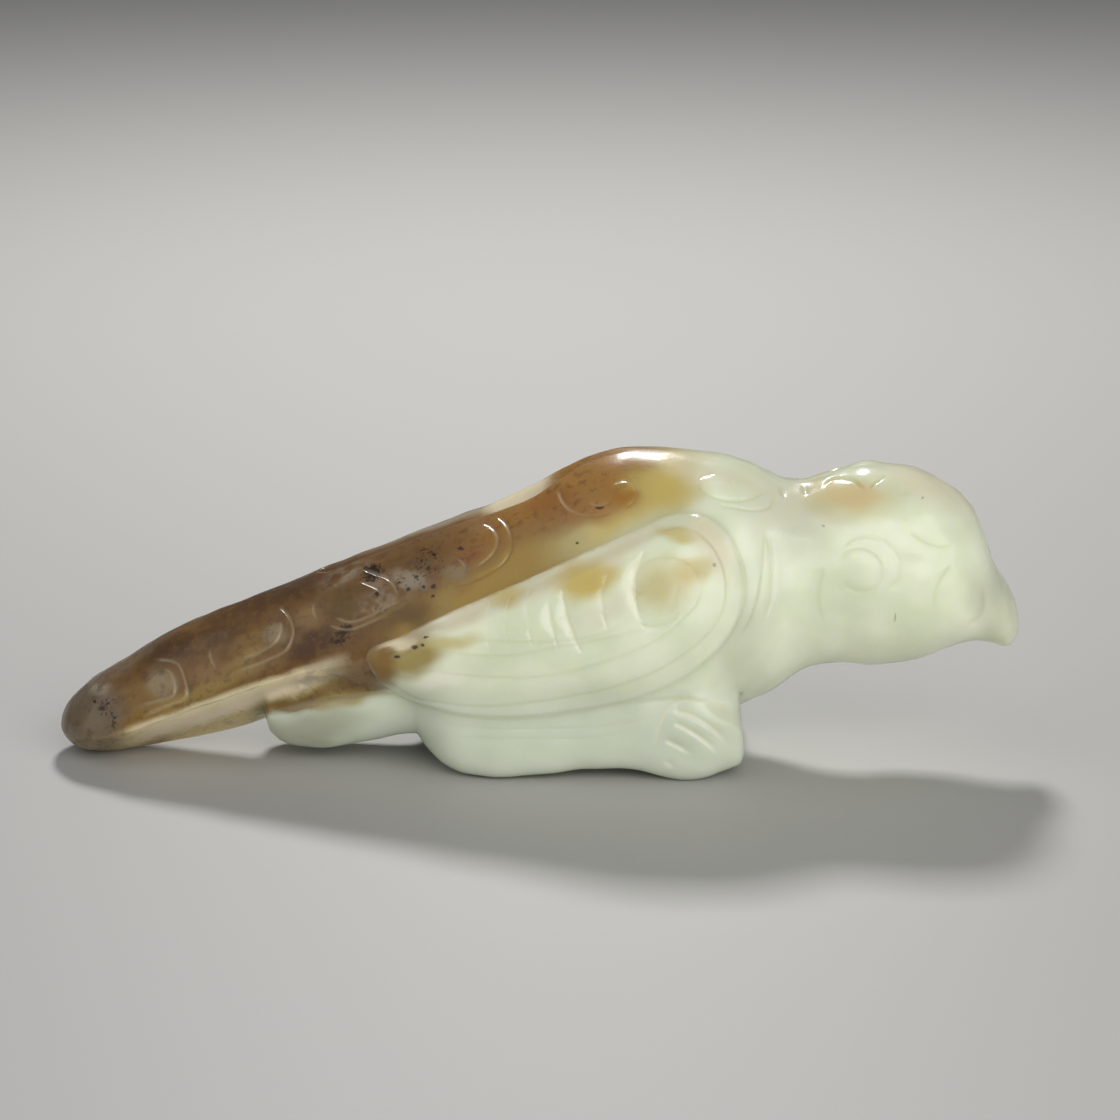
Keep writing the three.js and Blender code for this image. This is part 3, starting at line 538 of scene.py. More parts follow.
def section(x, angle):
    """Points of the skin at places x (one a column) and angles (0 at the widest place, a quarter turn at the top):
    an oval about the trunk's middle, joined by a rounded maximum to the mass under it, with the wedge between
    the legs taken out by a rounded minimum. The mass ends squarely at the toes and runs out smoothly into the
    breast above them. The toes lean forward near the ground."""
    top, under, half, middle, upper, lower = [v[:, None] for v in trunk_sizes(x)]
    mass_half, fullness, bottom, present = [v[:, None] for v in mass_sizes(x)]
    cos, sin = np.cos(angle), np.sin(angle)
    above = oval(cos, sin, half, top - middle, upper)
    below = oval(cos, sin, half, middle - under, lower)
    mass = oval(cos, sin, mass_half, np.maximum(middle - bottom, 0.3), fullness)
    front = TOE_CLOSE + BREAST_RUNOUT * smoothstep(middle + mass * sin, *BREAST_HEIGHTS)
    present = present * smoothstep(-x[:, None], -TOE_FRONT - TOE_CLOSE, front - TOE_FRONT - TOE_CLOSE)
    joined = present * smoothstep(-sin, 0, JOIN_RUNOUT)
    below = below + (rounded_max(below, mass, BLEND) - below) * joined
    gap = rounded_min(below, gap_distance(middle, cos, sin), GAP_EDGE)
    behind = smoothstep(x, GAP_BACK - GAP_RUNOUT, GAP_BACK + GAP_RUNOUT)[:, None]
    ahead = (x < TOE_FRONT + TOE_CLOSE)[:, None]
    below = below + (gap - below) * behind * ahead
    out = np.where(sin >= 0, above, below)
    z = np.maximum(middle + out * sin, 0)
    place = x[:, None]
    lean = TOE_LEAN * smoothstep(place, LEAN_FROM, TOE_FRONT) * np.clip(1 - z / LEAN_HEIGHT, 0, 1)
    return np.stack([place + lean, -out * cos, z], axis=-1)


def even_columns(step):
    """Places along the body such that no point of the skin moves further than a step from one to the next,
    closer together wherever the form turns across the body."""
    turn = 1 - np.cos(np.linspace(0.01, math.pi / 2, 200))
    rounds = [(TAIL_TIP, TAIL_ROUND), (BEAK_TIP, -BEAK_ROUND), (LOBE_BACK, LOBE_ROUND[0]),
              (HEEL_BACK, HEEL_ROUND[0]), (TOE_FRONT, -TOE_ROUND[0])]
    fine = [np.linspace(TAIL_TIP, BEAK_TIP, 9001)[1:-1], TOE_FRONT + TOE_CLOSE * np.linspace(0, 1, 60)]
    x = np.unique(np.concatenate(fine + [end + length * turn for end, length in rounds]))
    angle = np.linspace(-math.pi / 2, math.pi / 2, 61)[None, :]
    moved = np.linalg.norm(np.diff(section(x, angle), axis=0), axis=-1).max(axis=1)
    run = np.concatenate([[0], np.cumsum(moved)])
    return np.interp(np.linspace(0, run[-1], int(run[-1] / step)), run, x)


def even_rows(x, count):
    """Angles round the near half of each column, from the underside to the spine, evenly spaced along the skin
    and wider apart on the plain underside."""
    fine = np.linspace(-math.pi / 2, math.pi / 2, 901)
    points = section(x, fine[None, :])
    weight = UNDERSIDE_SHARE + (1 - UNDERSIDE_SHARE) * smoothstep(fine, *np.radians(UNDERSIDE_ANGLES))
    moved = np.linalg.norm(np.diff(points, axis=1), axis=-1) * weight[1:]
    run = np.concatenate([np.zeros((len(x), 1)), np.cumsum(moved, axis=1)], axis=1)
    share = np.linspace(0, 1, count)
    return np.array([np.interp(share * line[-1], line, fine) for line in run])


def outward(points):
    """Unit normals of a grid of points, from the differences along its two directions."""
    along, up = np.gradient(points, axis=0), np.gradient(points, axis=1)
    normal = np.cross(along, up)
    normal[:, 0, 1] = 0
    normal[:, -1, 1] = 0
    return normal / np.maximum(np.linalg.norm(normal, axis=-1, keepdims=True), 1e-12)


def drawn_height(points):
    """Rise of each point on the leaning drawing plane. Under the belly, where the plane would show the skin a
    second time, it runs on downwards."""
    rise = points[..., 2] * math.cos(CARVING_LEAN) - np.abs(points[..., 1]) * math.sin(CARVING_LEAN)
    lowest = np.minimum.accumulate(rise[:, ::-1], axis=1)[:, ::-1]
    return 2 * lowest - rise


def path_through(points, closed=False):
    """Evenly spaced points of a smooth curve through the given ones."""
    points = np.array(points, float)
    if closed:
        points = np.concatenate([points[-2:], points, points[:3]])
    run = np.concatenate([[0], np.cumsum(np.linalg.norm(np.diff(points, axis=0), axis=1))])
    first, last = (run[2], run[-3]) if closed else (0, run[-1])
    steps = max(4, int((last - first) / PATH_STEP))
    return through(np.column_stack([run, points]), np.linspace(first, last, steps + 1))


def measure(u, v, path):
    """Distance from each point to a path, on which side of it the point lies (left positive), how far along the
    path its nearest place is, and the path's length."""
    best, side, run = np.full(u.shape, np.inf), np.zeros(u.shape), np.zeros(u.shape)
    ahead = 0.0
    for a, b in zip(path[:-1], path[1:]):
        dx, dy = b - a
        length = math.hypot(dx, dy)
        px, py = u - a[0], v - a[1]
        t = np.clip((px * dx + py * dy) / length**2, 0, 1)
        apart = (px - t * dx) ** 2 + (py - t * dy) ** 2
        closer = apart < best
        best = np.where(closer, apart, best)
        side = np.where(closer, np.sign(dx * py - dy * px), side)
        run = np.where(closer, ahead + t * length, run)
        ahead += length
    return np.sqrt(best), side, run, ahead


def inside(u, v, path):
    """Whether each point is inside a closed path: a level line from it crosses the path an odd number of times."""
    odd = np.zeros(u.shape, bool)
    for a, b in zip(path[:-1], path[1:]):
        crosses = (a[1] > v) != (b[1] > v)
        reach = a[0] + (v - a[1]) * (b[0] - a[0]) / np.where(b[1] == a[1], 1e-9, b[1] - a[1])
        odd ^= crosses & (u < reach)
    return odd


class Carving:
    """Relief over the flank: how far the skin stands out at each point, and where it is cut or wing."""

    def __init__(self, u, v, spine):
        self.u, self.v, self.spine = u, v, spine
        self.height, self.cut = np.zeros(u.shape), np.zeros(u.shape)
        self.wing, self.ground = np.zeros(u.shape), np.zeros(u.shape)

    def near(self, low, high, margin):
        """The points within a margin of a box on the drawing plane."""
        return np.nonzero((self.u > low[0] - margin) & (self.u < high[0] + margin)
                          & (self.v > low[1] - margin) & (self.v < high[1] + margin))

    def line(self, points, half, depth, step, reach, ends):
        """Cuts a trough (1 - (distance / half)^2)^2 deep, and dresses the stone on one side down towards it by
        the step times (1 - distance / reach)^2. Both run out smoothly at the line's ends."""
        path = path_through(points)
        at = self.near(path.min(axis=0), path.max(axis=0), max(reach, half) + 0.2)
        distance, side, run, length = measure(self.u[at], self.v[at], path)
        fade = smoothstep(run, 0, min(ends[0], length / 2)) * smoothstep(length - run, 0, min(ends[1], length / 2))
        trough = np.clip(1 - (distance / half) ** 2, 0, 1) ** 2
        signed = side * distance * (1 if step >= 0 else -1)
        dressed = smoothstep(signed, -half, half) * np.clip(1 - np.maximum(signed, 0) / reach, 0, 1) ** 2
        self.height[at] -= fade * (depth * trough + abs(step) * dressed)
        if depth:
            self.cut[at] = np.maximum(self.cut[at], fade * np.clip(1 - (distance / (1.25 * half)) ** 2, 0, 1))

    def dome(self, middle, rise, long, high, turn, height):
        """Adds a rounded boss, height times (1 - q^2)^2 at a share q of the way out to its oval edge."""
        at = self.near((middle, rise), (middle, rise), max(long, high) + 0.1)
        cos, sin = math.cos(math.radians(turn)), math.sin(math.radians(turn))
        du, dv = self.u[at] - middle, self.v[at] - rise
        share = ((du * cos + dv * sin) / long) ** 2 + ((dv * cos - du * sin) / high) ** 2
        self.height[at] += height * np.clip(1 - share, 0, 1) ** 2

    def plate(self, outline, step, edge, lift, bulge):
        """Raises everything inside a closed outline: a step with a rounded slope of the edge's width at its border,
        a third as high along the upper edge, and a further lift that grows over the bulge's width behind it."""
        path = path_through(outline, closed=True)
        at = self.near(path.min(axis=0), path.max(axis=0), 2 * edge)
        distance = measure(self.u[at], self.v[at], path)[0]
        signed = np.where(inside(self.u[at], self.v[at], path), distance, -distance)
        self.wing[at] = smoothstep(signed, -0.08, 0.1)
        upper = smoothstep(self.v[at] - WING_TOP[1] - WING_TOP[0] * self.u[at], -1.2, -0.2)
        rim = smoothstep(signed, -0.35 * edge, 0.65 * edge)
        self.height[at] += step * (1 - 0.65 * upper) * rim + lift * smoothstep(signed, -edge, bulge)

    def crescent(self, outer, inner, depth):
        """Hollows the strip between two edges, deepest at the inner one, past which a short wall rises again."""
        outer, inner = path_through(outer), path_through(inner)
        at = self.near(outer.min(axis=0), outer.max(axis=0), 1.0)
        d_out, side_out = measure(self.u[at], self.v[at], outer)[:2]
        d_in, side_in = measure(self.u[at], self.v[at], inner)[:2]
        between = (side_out > 0) & (side_in <= 0)
        share = np.where(between, d_out / np.maximum(d_out + d_in, 1e-6), 0)
        wall = np.where((side_out > 0) & (side_in > 0), smoothstep(-d_in, -CRESCENT_WALL, 0), 0)
        wide = smoothstep(np.where(between, d_out + d_in, d_out - d_in), 0.1, 0.5)
        self.height[at] -= depth * (share + wall) * wide
        # how much whiter the hollow is laid: partly matt ground stone, partly painted light on its slope
        self.ground[at] = np.maximum(self.ground[at], smoothstep(share + wall, 0.05, 0.6) * wide * depth / GROUND_DEPTH)

    def back(self):
        """The spine's hollow, depth times (1 - (distance / half width)^2)^2, and the mound ahead of it, height
        times (1 - q^2)^2 at a share q of the way out to its edge."""
        half, depth = np.moveaxis(through(SPINE_HOLLOW, self.u.ravel()).reshape(self.u.shape + (2,)), -1, 0)
        place, behind, ahead, wide, height = BACK_MOUND
        top = self.v > BACK_FROM
        share = np.clip(1 - (self.spine / half) ** 2, 0, 1) ** 2
        self.height -= np.where(top, depth * share, 0)
        out = ((self.u - place) / np.where(self.u < place, behind, ahead)) ** 2 + (self.spine / wide) ** 2
        self.height += np.where(top, height * np.clip(1 - out, 0, 1) ** 2, 0)


def carve(points):
    """All the carving of one flank, given the plain skin."""
    carving = Carving(points[..., 0], drawn_height(points), np.abs(points[..., 1]))
    carving.plate(WING_OUTLINE, WING_STEP, WING_EDGE, WING_LIFT, WING_BULGE)
    for line, tool in CUT_LINES + FACE_LINES + COLLAR_LINES + LEAF_LINES + FOOT_LINES + LEG_LINES:
        carving.line(line, **tool)
    for line in LAPPET_LINES:
        carving.line(line, **LAPPET_CUT)
    carving.line(TAIL_EDGE, **TAIL_BEVEL)
    carving.line(LOBE_CREASE, **CREASE_CUT)
    for crescent in CRESCENTS:
        carving.crescent(*crescent)
    for middle, rise, long, high, slope in LAPPET_FIELDS:
        carving.dome(middle, rise, long, high, math.degrees(math.atan(slope)), FIELD_HEIGHT)
    for dome in DOMES:
        carving.dome(*dome)
    for *place, depth in HOLLOWS:
        carving.dome(*place, -depth)
    carving.back()
    return carving


def waves(points, rows, seed):
    """Smooth unevenness: for every wavelength and height, a sum of sine waves in fixed random directions."""
    random = np.random.default_rng(seed)
    total = np.zeros(points.shape[:-1])
    for wavelength, height in rows:
        for _ in range(WAVE_DIRECTIONS):
            direction = random.normal(size=3)
            direction *= 2 * math.pi / wavelength / np.linalg.norm(direction)
            total += height * np.sin(points @ direction + random.uniform(0, 2 * math.pi))
    return total


class Painting:
    """Stains of one flank, painted shade and painted highlights among them: at each point the colour laid on
    it, times how much of it covers the stone.
    """

    def __init__(self, points, wing, seed):
        self.bent = waves(points, STAIN_WAVES, seed), waves(points, STAIN_WAVES, seed + 1)
        self.x = points[..., 0] + self.bent[0]
        self.rise = points[..., 2] * math.cos(CARVING_LEAN) - np.abs(points[..., 1]) * math.sin(CARVING_LEAN)
        self.rise = self.rise + self.bent[1]
        self.y, self.wing = points[..., 1], wing
        self.colour, self.cover = np.zeros(points.shape), np.zeros(points.shape[:-1])
        self.skin, self.marble, self.ink = [np.zeros(points.shape[:-1]) for _ in range(3)]

    def lay(self, tint, share, clean=0.0):
        """Lays a colour over what is there, by a share from 0 to 1 at each point. A clean one clears that much of
        the skin's mottling as well."""
        self.colour = self.colour * (1 - share[..., None]) + np.array(tint) * share[..., None]
        self.cover = self.cover * (1 - share) + share
        self.skin = self.skin * (1 - clean * share)

    def spot(self, middle, size, turn, soft, strength):
        """The strength in an oval, falling smoothly to 0 over a share of its size."""
        cos, sin = math.cos(math.radians(turn)), math.sin(math.radians(turn))
        du, dv = self.x - middle[0], self.rise - middle[1]
        out = np.hypot((du * cos + dv * sin) / size[0], (dv * cos - du * sin) / size[1])
        return strength * smoothstep(-out, -1 - soft / 2, -1 + soft / 2)

    def above(self, line):
        """Height over a straight line, given as a point and a slope."""
        (at, height), slope = line
        return self.rise - (self.x - at) * slope - height

    def pebble_skin(self):
        """The russet skin of the pebble over tail and back, ochre where it thins out, and where a painted highlight
        lies along the tail's bevel.
        """
        x, rise = self.x, self.rise
        over = self.above(SKIN_EDGE) - np.maximum(x - SKIN_EDGE[0][0], 0) * WING_STEEPER
        forward = smoothstep(x, -9, 0)
        tail = smoothstep(-x, 8.5, 11.5)
        body = 0.95 * (1 - self.wing)
        self.lay(GOLD, body * smoothstep(over, -1.8, -0.8) * smoothstep(-x, -6, -1))
        self.lay(OLIVE, body * 0.65 * smoothstep(over, -2.0, -1.0) * smoothstep(x, -1, 3) * smoothstep(-x, -12, -8))
        self.lay(OCHRE, body * 0.9 * smoothstep(over, -1.0, 0.6) * smoothstep(x, 0.5, 5.5) * smoothstep(-x, -12, -8))
        back = smoothstep(over - forward * 1.3, -0.3, 2.5) * smoothstep(rise * 0.6 - x, 2.0, 7.0)
        lobe_side = np.maximum(smoothstep(self.above(LOBE_LINE), -0.1, 0.3), smoothstep(-x, 18.4, 18.8))
        self.skin = np.maximum(back, tail * lobe_side) * (1 - self.wing)
        self.lay(TAIL_BROWN, self.skin)
        self.lay(LOBE_BROWN, self.skin * forward)
        self.lay(TIP_GREY, self.skin * 0.8 * smoothstep(-x, 28.8, 30.6))
        straighter = over - 0.7 * (self.bent[1] - SKIN_EDGE[1] * self.bent[0])
        low = smoothstep(-straighter, -0.5, 0.1) * smoothstep(-x, 12, 16) * self.skin
        self.lay(UNDER_TAIL, low)
        # where the painted highlight along the tail's bevel goes
        self.bevel = low * smoothstep(straighter, -1.5, -0.8) * smoothstep(x, -29.5, -25.5)

    def far_edge(self):
        """Clear stone in the hollow of the spine, and a pale line where the far flank shows past the spine."""
        beyond = smoothstep(self.y, -0.3, 0.35)
        rim = smoothstep(self.y, 0.2, 0.8) * smoothstep(-self.y, -2.1, -1.0) * smoothstep(-self.x, 1.5, 3.0)
        self.lay(WHITE_GREY, rim * 0.85 * smoothstep(self.x, -17, -6), 0.9)
        clear = np.hypot((self.x + 1.3) / 2.1, (self.y - 1.0) / 1.6)
        self.lay(CREAM_AND_HIGHLIGHT, beyond * smoothstep(-clear, -1.3, -0.65), 1.0)


def paint(points, carving, near):
    """The stains of one flank, with painted shade and painted highlights among them. The near flank has its own
    on the wing and in the marbled stone.
    """
    painting = Painting(points, carving.wing, NEAR_SEED if near else FAR_SEED)
    painting.pebble_skin()
    for tint, *place in BACK_STAINS_AND_SHADE + TAIL_STAINS_AND_SHADE:
        painting.lay(tint, painting.spot(*place) * (1 - carving.wing))
    for tint, *place in WING_STAINS_AND_HIGHLIGHTS if near else []:
        painting.lay(tint, painting.spot(*place) * carving.wing)
    # crescent hollows whiter: partly matt ground stone, partly painted light
    painting.lay(GROUND_AND_HIGHLIGHT, carving.ground * 0.8)
    # painted highlight along the tail's bevel
    painting.lay(CREAM_AND_HIGHLIGHT, painting.bevel * BEVEL_HIGHLIGHT_STRENGTH, 0.9)
    painting.far_edge()
    for *place, dark in MARBLED if near else []:
        layer = painting.ink if dark else painting.marble
        np.maximum(layer, painting.spot(*place), out=layer)
    return painting


def round_body(near, far):
    """Values of both flanks in the order of the mesh's points, with the first and last ring's for the two tips."""
    ring = np.concatenate([near, far[:, -2:0:-1]], axis=1)
    tips = [ring[0].mean(axis=0, keepdims=True), ring[-1].mean(axis=0, keepdims=True)]
    return np.concatenate([ring.reshape((-1,) + ring.shape[2:])] + tips).astype(np.float32).ravel()


def stone_mesh(name, step, rows):
    """The whole skin: both flanks as one closed grid round the body, with a point at either tip."""
    columns = even_columns(step)
    angles = even_rows(columns, rows)
    plain = section(columns, angles)
    carving = carve(plain)
    skin = plain + outward(plain) * (carving.height + waves(plain, POLISH_WAVES, POLISH_SEED))[..., None]
    skin[:, [0, -1], 1] = 0
    skin[..., 2] = np.maximum(skin[..., 2], 0)
    far = skin[:, -2:0:-1] * (1, -1, 1)
    ring = np.concatenate([skin, far], axis=1)
    count, around = ring.shape[:2]
    tips = np.array([[TAIL_TIP, 0, TAIL_TIP_HEIGHT], [BEAK_TIP, 0, BEAK_TIP_HEIGHT]])
    points = np.concatenate([ring.reshape(-1, 3), tips]) * MM
    start = np.arange(count - 1)[:, None] * around
    here, there = np.arange(around)[None, :], (np.arange(around)[None, :] + 1) % around
    quads = np.stack([start + here, start + around + here, start + around + there, start + there], axis=-1)
    end = (count - 1) * around
    tail_cap = np.stack([np.full(around, count * around), here[0], there[0]], axis=-1)
    beak_cap = np.stack([np.full(around, count * around + 1), end + there[0], end + here[0]], axis=-1)
    mesh = bpy.data.meshes.new(name)
    mesh.from_pydata(points.tolist(), [], quads.reshape(-1, 4).tolist() + tail_cap.tolist() + beak_cap.tolist())
    near, far = paint(skin, carving, True), paint(skin * (1, -1, 1), carving, False)
    layers = {"cut": (carving.cut, carving.cut), "wing": (carving.wing, carving.wing)}
    layers.update((name, (getattr(near, name), getattr(far, name))) for name in ("skin", "marble", "ink"))
    for layer, flanks in layers.items():
        attribute = mesh.attributes.new(layer, "FLOAT", "POINT")
        attribute.data.foreach_set("value", round_body(*flanks))
    # stains with painted shade and painted highlights, and how much they cover
    stain_and_painted_light = mesh.attributes.new("stain_and_painted_light", "FLOAT_COLOR", "POINT")
    flanks = [np.concatenate([side.colour, side.cover[..., None]], axis=-1) for side in (near, far)]
    stain_and_painted_light.data.foreach_set("color", round_body(*flanks))
    mesh.update()
    return mesh


class Value:
    """A number, colour or vector of a material's nodes: an expression on it adds the nodes that work it out."""

    def __init__(self, nodes, socket):
        self.nodes, self.socket = nodes, socket

    def maths(self, operation, *others):
        return self.nodes.add("ShaderNodeMath", {"operation": operation}, dict(enumerate((self,) + others)))

    def __add__(self, other):
        return self.maths("ADD", other)

    def __sub__(self, other):
        return self.maths("SUBTRACT", other)

    def __rsub__(self, other):
        return self.nodes.add("ShaderNodeMath", {"operation": "SUBTRACT"}, {0: other, 1: self})

    def __mul__(self, other):
        return self.maths("MULTIPLY", other)

    def __truediv__(self, other):
        return self.maths("DIVIDE", other)

    def __pow__(self, other):
        return self.maths("POWER", other)

    def __neg__(self):
        return self * -1

    __radd__, __rmul__ = __add__, __mul__

    def least(self, other):
        return self.maths("MINIMUM", other)

    def most(self, other):
        return self.maths("MAXIMUM", other)

    def between(self, low, high, full=1.0):
        """0 below low, full above high, smooth between them. A falling ramp has low above high."""
        start, end = (full, 0.0) if low > high else (0.0, full)
        ends = {"Value": self, "From Min": min(low, high), "From Max": max(low, high), "To Min": start, "To Max": end}
        return self.nodes.add("ShaderNodeMapRange", {"interpolation_type": "SMOOTHSTEP"}, ends)


class Nodes:
    """The nodes of one material, with a stone shader that their values are joined to."""

    def __init__(self, name):
        self.material = bpy.data.materials.new(name)
        self.material.use_nodes = True
        self.tree = self.material.node_tree
        self.shader = self.tree.nodes["Principled BSDF"]

    def join(self, socket, value):
        if isinstance(value, Value):
            self.tree.links.new(value.socket, socket)
        elif isinstance(value, (tuple, list)) and len(socket.default_value) == 4:
            socket.default_value = (*value, 1.0)[:4]
        else:
            socket.default_value = value

    def add(self, kind, settings, inputs, output=0):
        """Adds a node of a kind, with its settings and the values or links of its inputs, and returns an output."""
        node = self.tree.nodes.new(kind)
        for key, value in settings.items():
            setattr(node, key, value)
        for key, value in inputs.items():
            self.join(node.inputs[key], value)
        return Value(self, node.outputs[output])

    def attribute(self, name):
        return self.add("ShaderNodeAttribute", {"attribute_name": name}, {}, "Fac")

    def noise(self, place, scale, detail=3.0, roughness=0.5, output="Fac"):
        inputs = {"Vector": place, "Scale": scale, "Detail": detail, "Roughness": roughness}
        return self.add("ShaderNodeTexNoise", {}, inputs, output)

    def cells(self, place, scale, feature="F1"):
        return self.add("ShaderNodeTexVoronoi", {"feature": feature}, {"Vector": place, "Scale": scale}, "Distance")

    def vector(self, operation, a, b, output=0):
        return self.add("ShaderNodeVectorMath", {"operation": operation}, {0: a, 1: b}, output)

    def scaled(self, vector, scale):
        return self.add("ShaderNodeVectorMath", {"operation": "SCALE"}, {0: vector, "Scale": scale})

    def mix(self, share, a, b):
        """Colour a where the share is 0, colour b where it is 1."""
        node = self.tree.nodes.new("ShaderNodeMix")
        node.data_type = "RGBA"
        for socket, value in ((node.inputs[0], share), (node.inputs[6], a), (node.inputs[7], b)):
            self.join(socket, value)
        return Value(self, node.outputs[2])

    def patch(self, place, middle, size, turn=0.0, soft=0.6, strength=1.0):
        """The strength in an oval patch of the drawing plane and 0 outside it, fading over a share of its size."""
        frame_of_patch = {"Vector": place, "Location": (*middle, 0), "Rotation": (0, 0, math.radians(turn)),
                          "Scale": (*size, 1)}
        local = self.add("ShaderNodeMapping", {"vector_type": "TEXTURE"}, frame_of_patch)
        out = self.vector("LENGTH", local, (0, 0, 0), "Value")
        return out.between(1 + soft / 2, 1 - soft / 2, strength)


def jade():
    """Pale celadon stone with the russet skin of its pebble left on the tail and back."""
    nodes = Nodes("jade")
    place = nodes.scaled(nodes.add("ShaderNodeTexCoord", {}, {}, "Object"), 1 / MM)
    parts = nodes.add("ShaderNodeSeparateXYZ", {}, {0: place}).socket.node.outputs
    x, y, z = (Value(nodes, out) for out in parts)
    rise = z * math.cos(CARVING_LEAN) - y.maths("ABSOLUTE") * math.sin(CARVING_LEAN)
    uneven = nodes.noise(place, 3.0, 2.0, 0.6, "Color")
    drawn = nodes.add("ShaderNodeCombineXYZ", {}, {"X": x, "Y": rise, "Z": y.between(-0.2, 0.2) * 3})
    drawn = nodes.vector("ADD", drawn, nodes.scaled(nodes.vector("SUBTRACT", uneven, (0.5, 0.5, 0.5)), 0.28))
    cut, skin, marble, ink = (nodes.attribute(name) for name in ("cut", "skin", "marble", "ink"))
    stain_and_painted_light, cover = (nodes.add("ShaderNodeAttribute", {"attribute_name": "stain_and_painted_light"}, {}, out) for out in ("Color", "Alpha"))

    broad = nodes.noise(place, 0.22, 2.0)
    mottle = nodes.noise(place, 1.4, 4.0, 0.65)
    fine = nodes.noise(place, 4.0, 2.0, 0.6)
    cloud = nodes.noise(place, 0.9, 2.0, 0.6)

    stone = nodes.mix(broad.between(0.34, 0.66), GREEN, PALE)
    stone = nodes.mix(mottle.between(0.5, 0.75) * 0.2, stone, PALE)
    # painted shade: cooler and darker low down on the body
    stone = nodes.mix(rise.between(5.5, 1.0) * 0.8, stone, LOW_SHADE)
    # stains, painted shade and painted highlights laid over the stone
    stone = nodes.vector("ADD", nodes.scaled(stone, 1 - cover), stain_and_painted_light)

    stone = nodes.mix(skin * mottle.between(0.48, 0.7) * 0.48, stone, DARK_BROWN)
    stone = nodes.mix(skin * mottle.between(0.5, 0.32) * 0.35, stone, GOLD_BROWN)
    stone = nodes.mix(marble * cloud.between(0.36, 0.6) * 0.8, stone, WHITE_GREY)
    stone = nodes.mix((ink + (fine - 0.5) * 1.6).between(0.35, 0.8) * ink.between(0, 0.25) * 0.9, stone, INK)
    stone = nodes.mix(marble.between(0.7, 0.9).most(ink) * fine.between(0.6, 0.68) * 0.9, stone, INK)
    for middle, size in SPECKS:
        strength = 0.85 if middle[0] < SPECK_FADE else 0.4
        stone = nodes.mix(nodes.patch(drawn, middle, size, 0, 0.9, strength), stone, INK)
    # painted highlight along the cut lines in the skin
    stone = nodes.mix(cut * cut * skin * 0.3, stone, CREAM_AND_HIGHLIGHT)
    stone = nodes.mix(cut * (1 - skin) * 0.06, stone, OLIVE)
    # toe cuts lighter: partly whiter cut stone, partly painted highlight on the toe ridges
    stone = nodes.mix(cut * rise.between(4.3, 3.4) * x.between(6.5, 8.0) * 0.5, stone, GROUND_AND_HIGHLIGHT)

    nodes.join(nodes.shader.inputs["Base Color"], stone)
    nodes.join(nodes.shader.inputs["Roughness"], 0.17 + mottle * 0.08 + skin * 0.05)
    grain = nodes.noise(place, 9.0, 2.0, 0.6)
    bump = nodes.add("ShaderNodeBump", {}, {"Strength": 0.3, "Distance": 0.00003,
                                            "Height": fine + mottle * skin + grain * 0.8}, "Normal")
    nodes.join(nodes.shader.inputs["Normal"], bump)
    for socket, value in STONE_SHADER.items():
        nodes.join(nodes.shader.inputs[socket], value)
    return nodes.material


STONE_SHADER = {
    "Subsurface Weight": 1.0, "Subsurface Radius": (1.0, 0.95, 0.62), "Subsurface Scale": 0.0025,
    "IOR": 1.58, "Specular IOR Level": 0.3,
}


def bird():
    """The carved skin, thinned where it is plain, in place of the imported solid."""
    coarser = 1.0
    rough = bpy.data.objects.new("rough", stone_mesh("rough", COLUMN_STEP * coarser, int(ROWS / coarser)))
    bpy.context.scene.collection.objects.link(rough)
    rough.data.calc_loop_triangles()
    count = len(rough.data.loop_triangles)
    if count > KEPT_TRIANGLES:
        thin = rough.modifiers.new("thin", "DECIMATE")
        thin.ratio = KEPT_TRIANGLES / count
    graph = bpy.context.evaluated_depsgraph_get()
    mesh = bpy.data.meshes.new_from_object(rough.evaluated_get(graph), preserve_all_data_layers=True, depsgraph=graph)
    bpy.data.objects.remove(rough)
    mesh.name = "carved_bird"
    mesh.shade_smooth()
    mesh.materials.clear()
    mesh.materials.append(jade())
    piece = bpy.data.objects.new("carved_bird", mesh)
    bpy.context.scene.collection.objects.link(piece)
    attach(piece, "root")
    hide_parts("jade_bird")
    return piece


# The camera: distance and the point it looks at, seen from the carving's own lean
CAMERA_DISTANCE = 378
CAMERA_TARGET = (1.42, 0.0, 13.41)
CAMERA_LENS = 180


def aim(thing, target):
    """Turns a camera or light so that it looks at a point, upright."""
    thing.rotation_euler = (Vector(target) - thing.location).to_track_quat("-Z", "Y").to_euler()


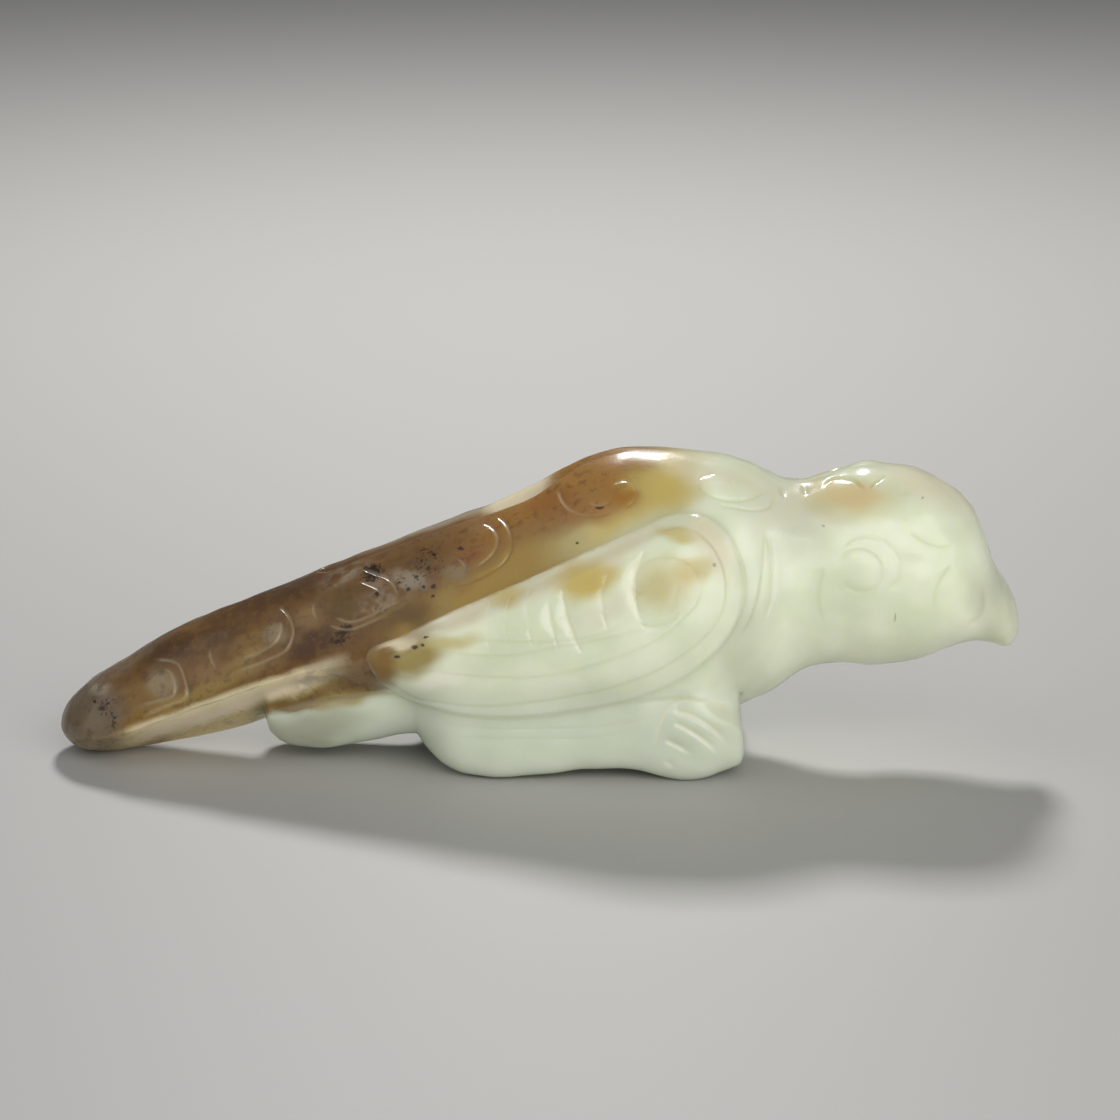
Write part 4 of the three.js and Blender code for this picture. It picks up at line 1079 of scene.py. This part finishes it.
def camera():
    lens = bpy.data.cameras.new("camera")
    lens.lens = CAMERA_LENS
    lens.sensor_width = 36
    lens.clip_start = 0.01
    eye = bpy.data.objects.new("camera", lens)
    target = Vector(CAMERA_TARGET) * MM
    back = Vector((0, -math.cos(CARVING_LEAN), math.sin(CARVING_LEAN)))
    eye.location = target + back * CAMERA_DISTANCE * MM
    aim(eye, target)
    bpy.context.scene.collection.objects.link(eye)
    bpy.context.scene.camera = eye


# Soft lights: name, azimuth and height above the floor in degrees (azimuth 0 is the camera's side, 90 the
# beak's), distance and size in millimetres, strength in watts
LIGHTS = [
    ("key", -179, 42, 260, 38, 0.4),
    ("front", 27, 20, 340, 340, 1.0),
    ("left", -62, 42, 420, 500, 0.5),
]
SURROUND = 0.12


def lights():
    for name, azimuth, height, distance, size, strength in LIGHTS:
        lamp = bpy.data.lights.new(name, "AREA")
        lamp.energy = strength
        lamp.size = size * MM
        lit = bpy.data.objects.new(name, lamp)
        turn, up = math.radians(azimuth), math.radians(height)
        way = Vector((math.sin(turn) * math.cos(up), -math.cos(turn) * math.cos(up), math.sin(up)))
        lit.location = way * distance * MM
        aim(lit, Vector(CAMERA_TARGET) * MM)
        bpy.context.scene.collection.objects.link(lit)
    world = bpy.data.worlds.new("surround")
    world.use_nodes = True
    world.node_tree.nodes["Background"].inputs["Color"].default_value = (0.9, 0.95, 1.0, 1)
    world.node_tree.nodes["Background"].inputs["Strength"].default_value = SURROUND
    bpy.context.scene.world = world


FLOOR_SIZE = 4000
FLOOR_COLOUR = colour(184, 182, 178)


def floor():
    half = FLOOR_SIZE / 2 * MM
    mesh = bpy.data.meshes.new("floor")
    mesh.from_pydata([(-half, -half, 0), (half, -half, 0), (half, half, 0), (-half, half, 0)], [], [(0, 1, 2, 3)])
    nodes = Nodes("floor")
    nodes.join(nodes.shader.inputs["Base Color"], FLOOR_COLOUR)
    nodes.join(nodes.shader.inputs["Roughness"], 0.6)
    mesh.materials.append(nodes.material)
    ground = bpy.data.objects.new("floor", mesh)
    bpy.context.scene.collection.objects.link(ground)


camera()
lights()
floor()
bird()
bpy.context.scene.view_settings.view_transform = "Standard"
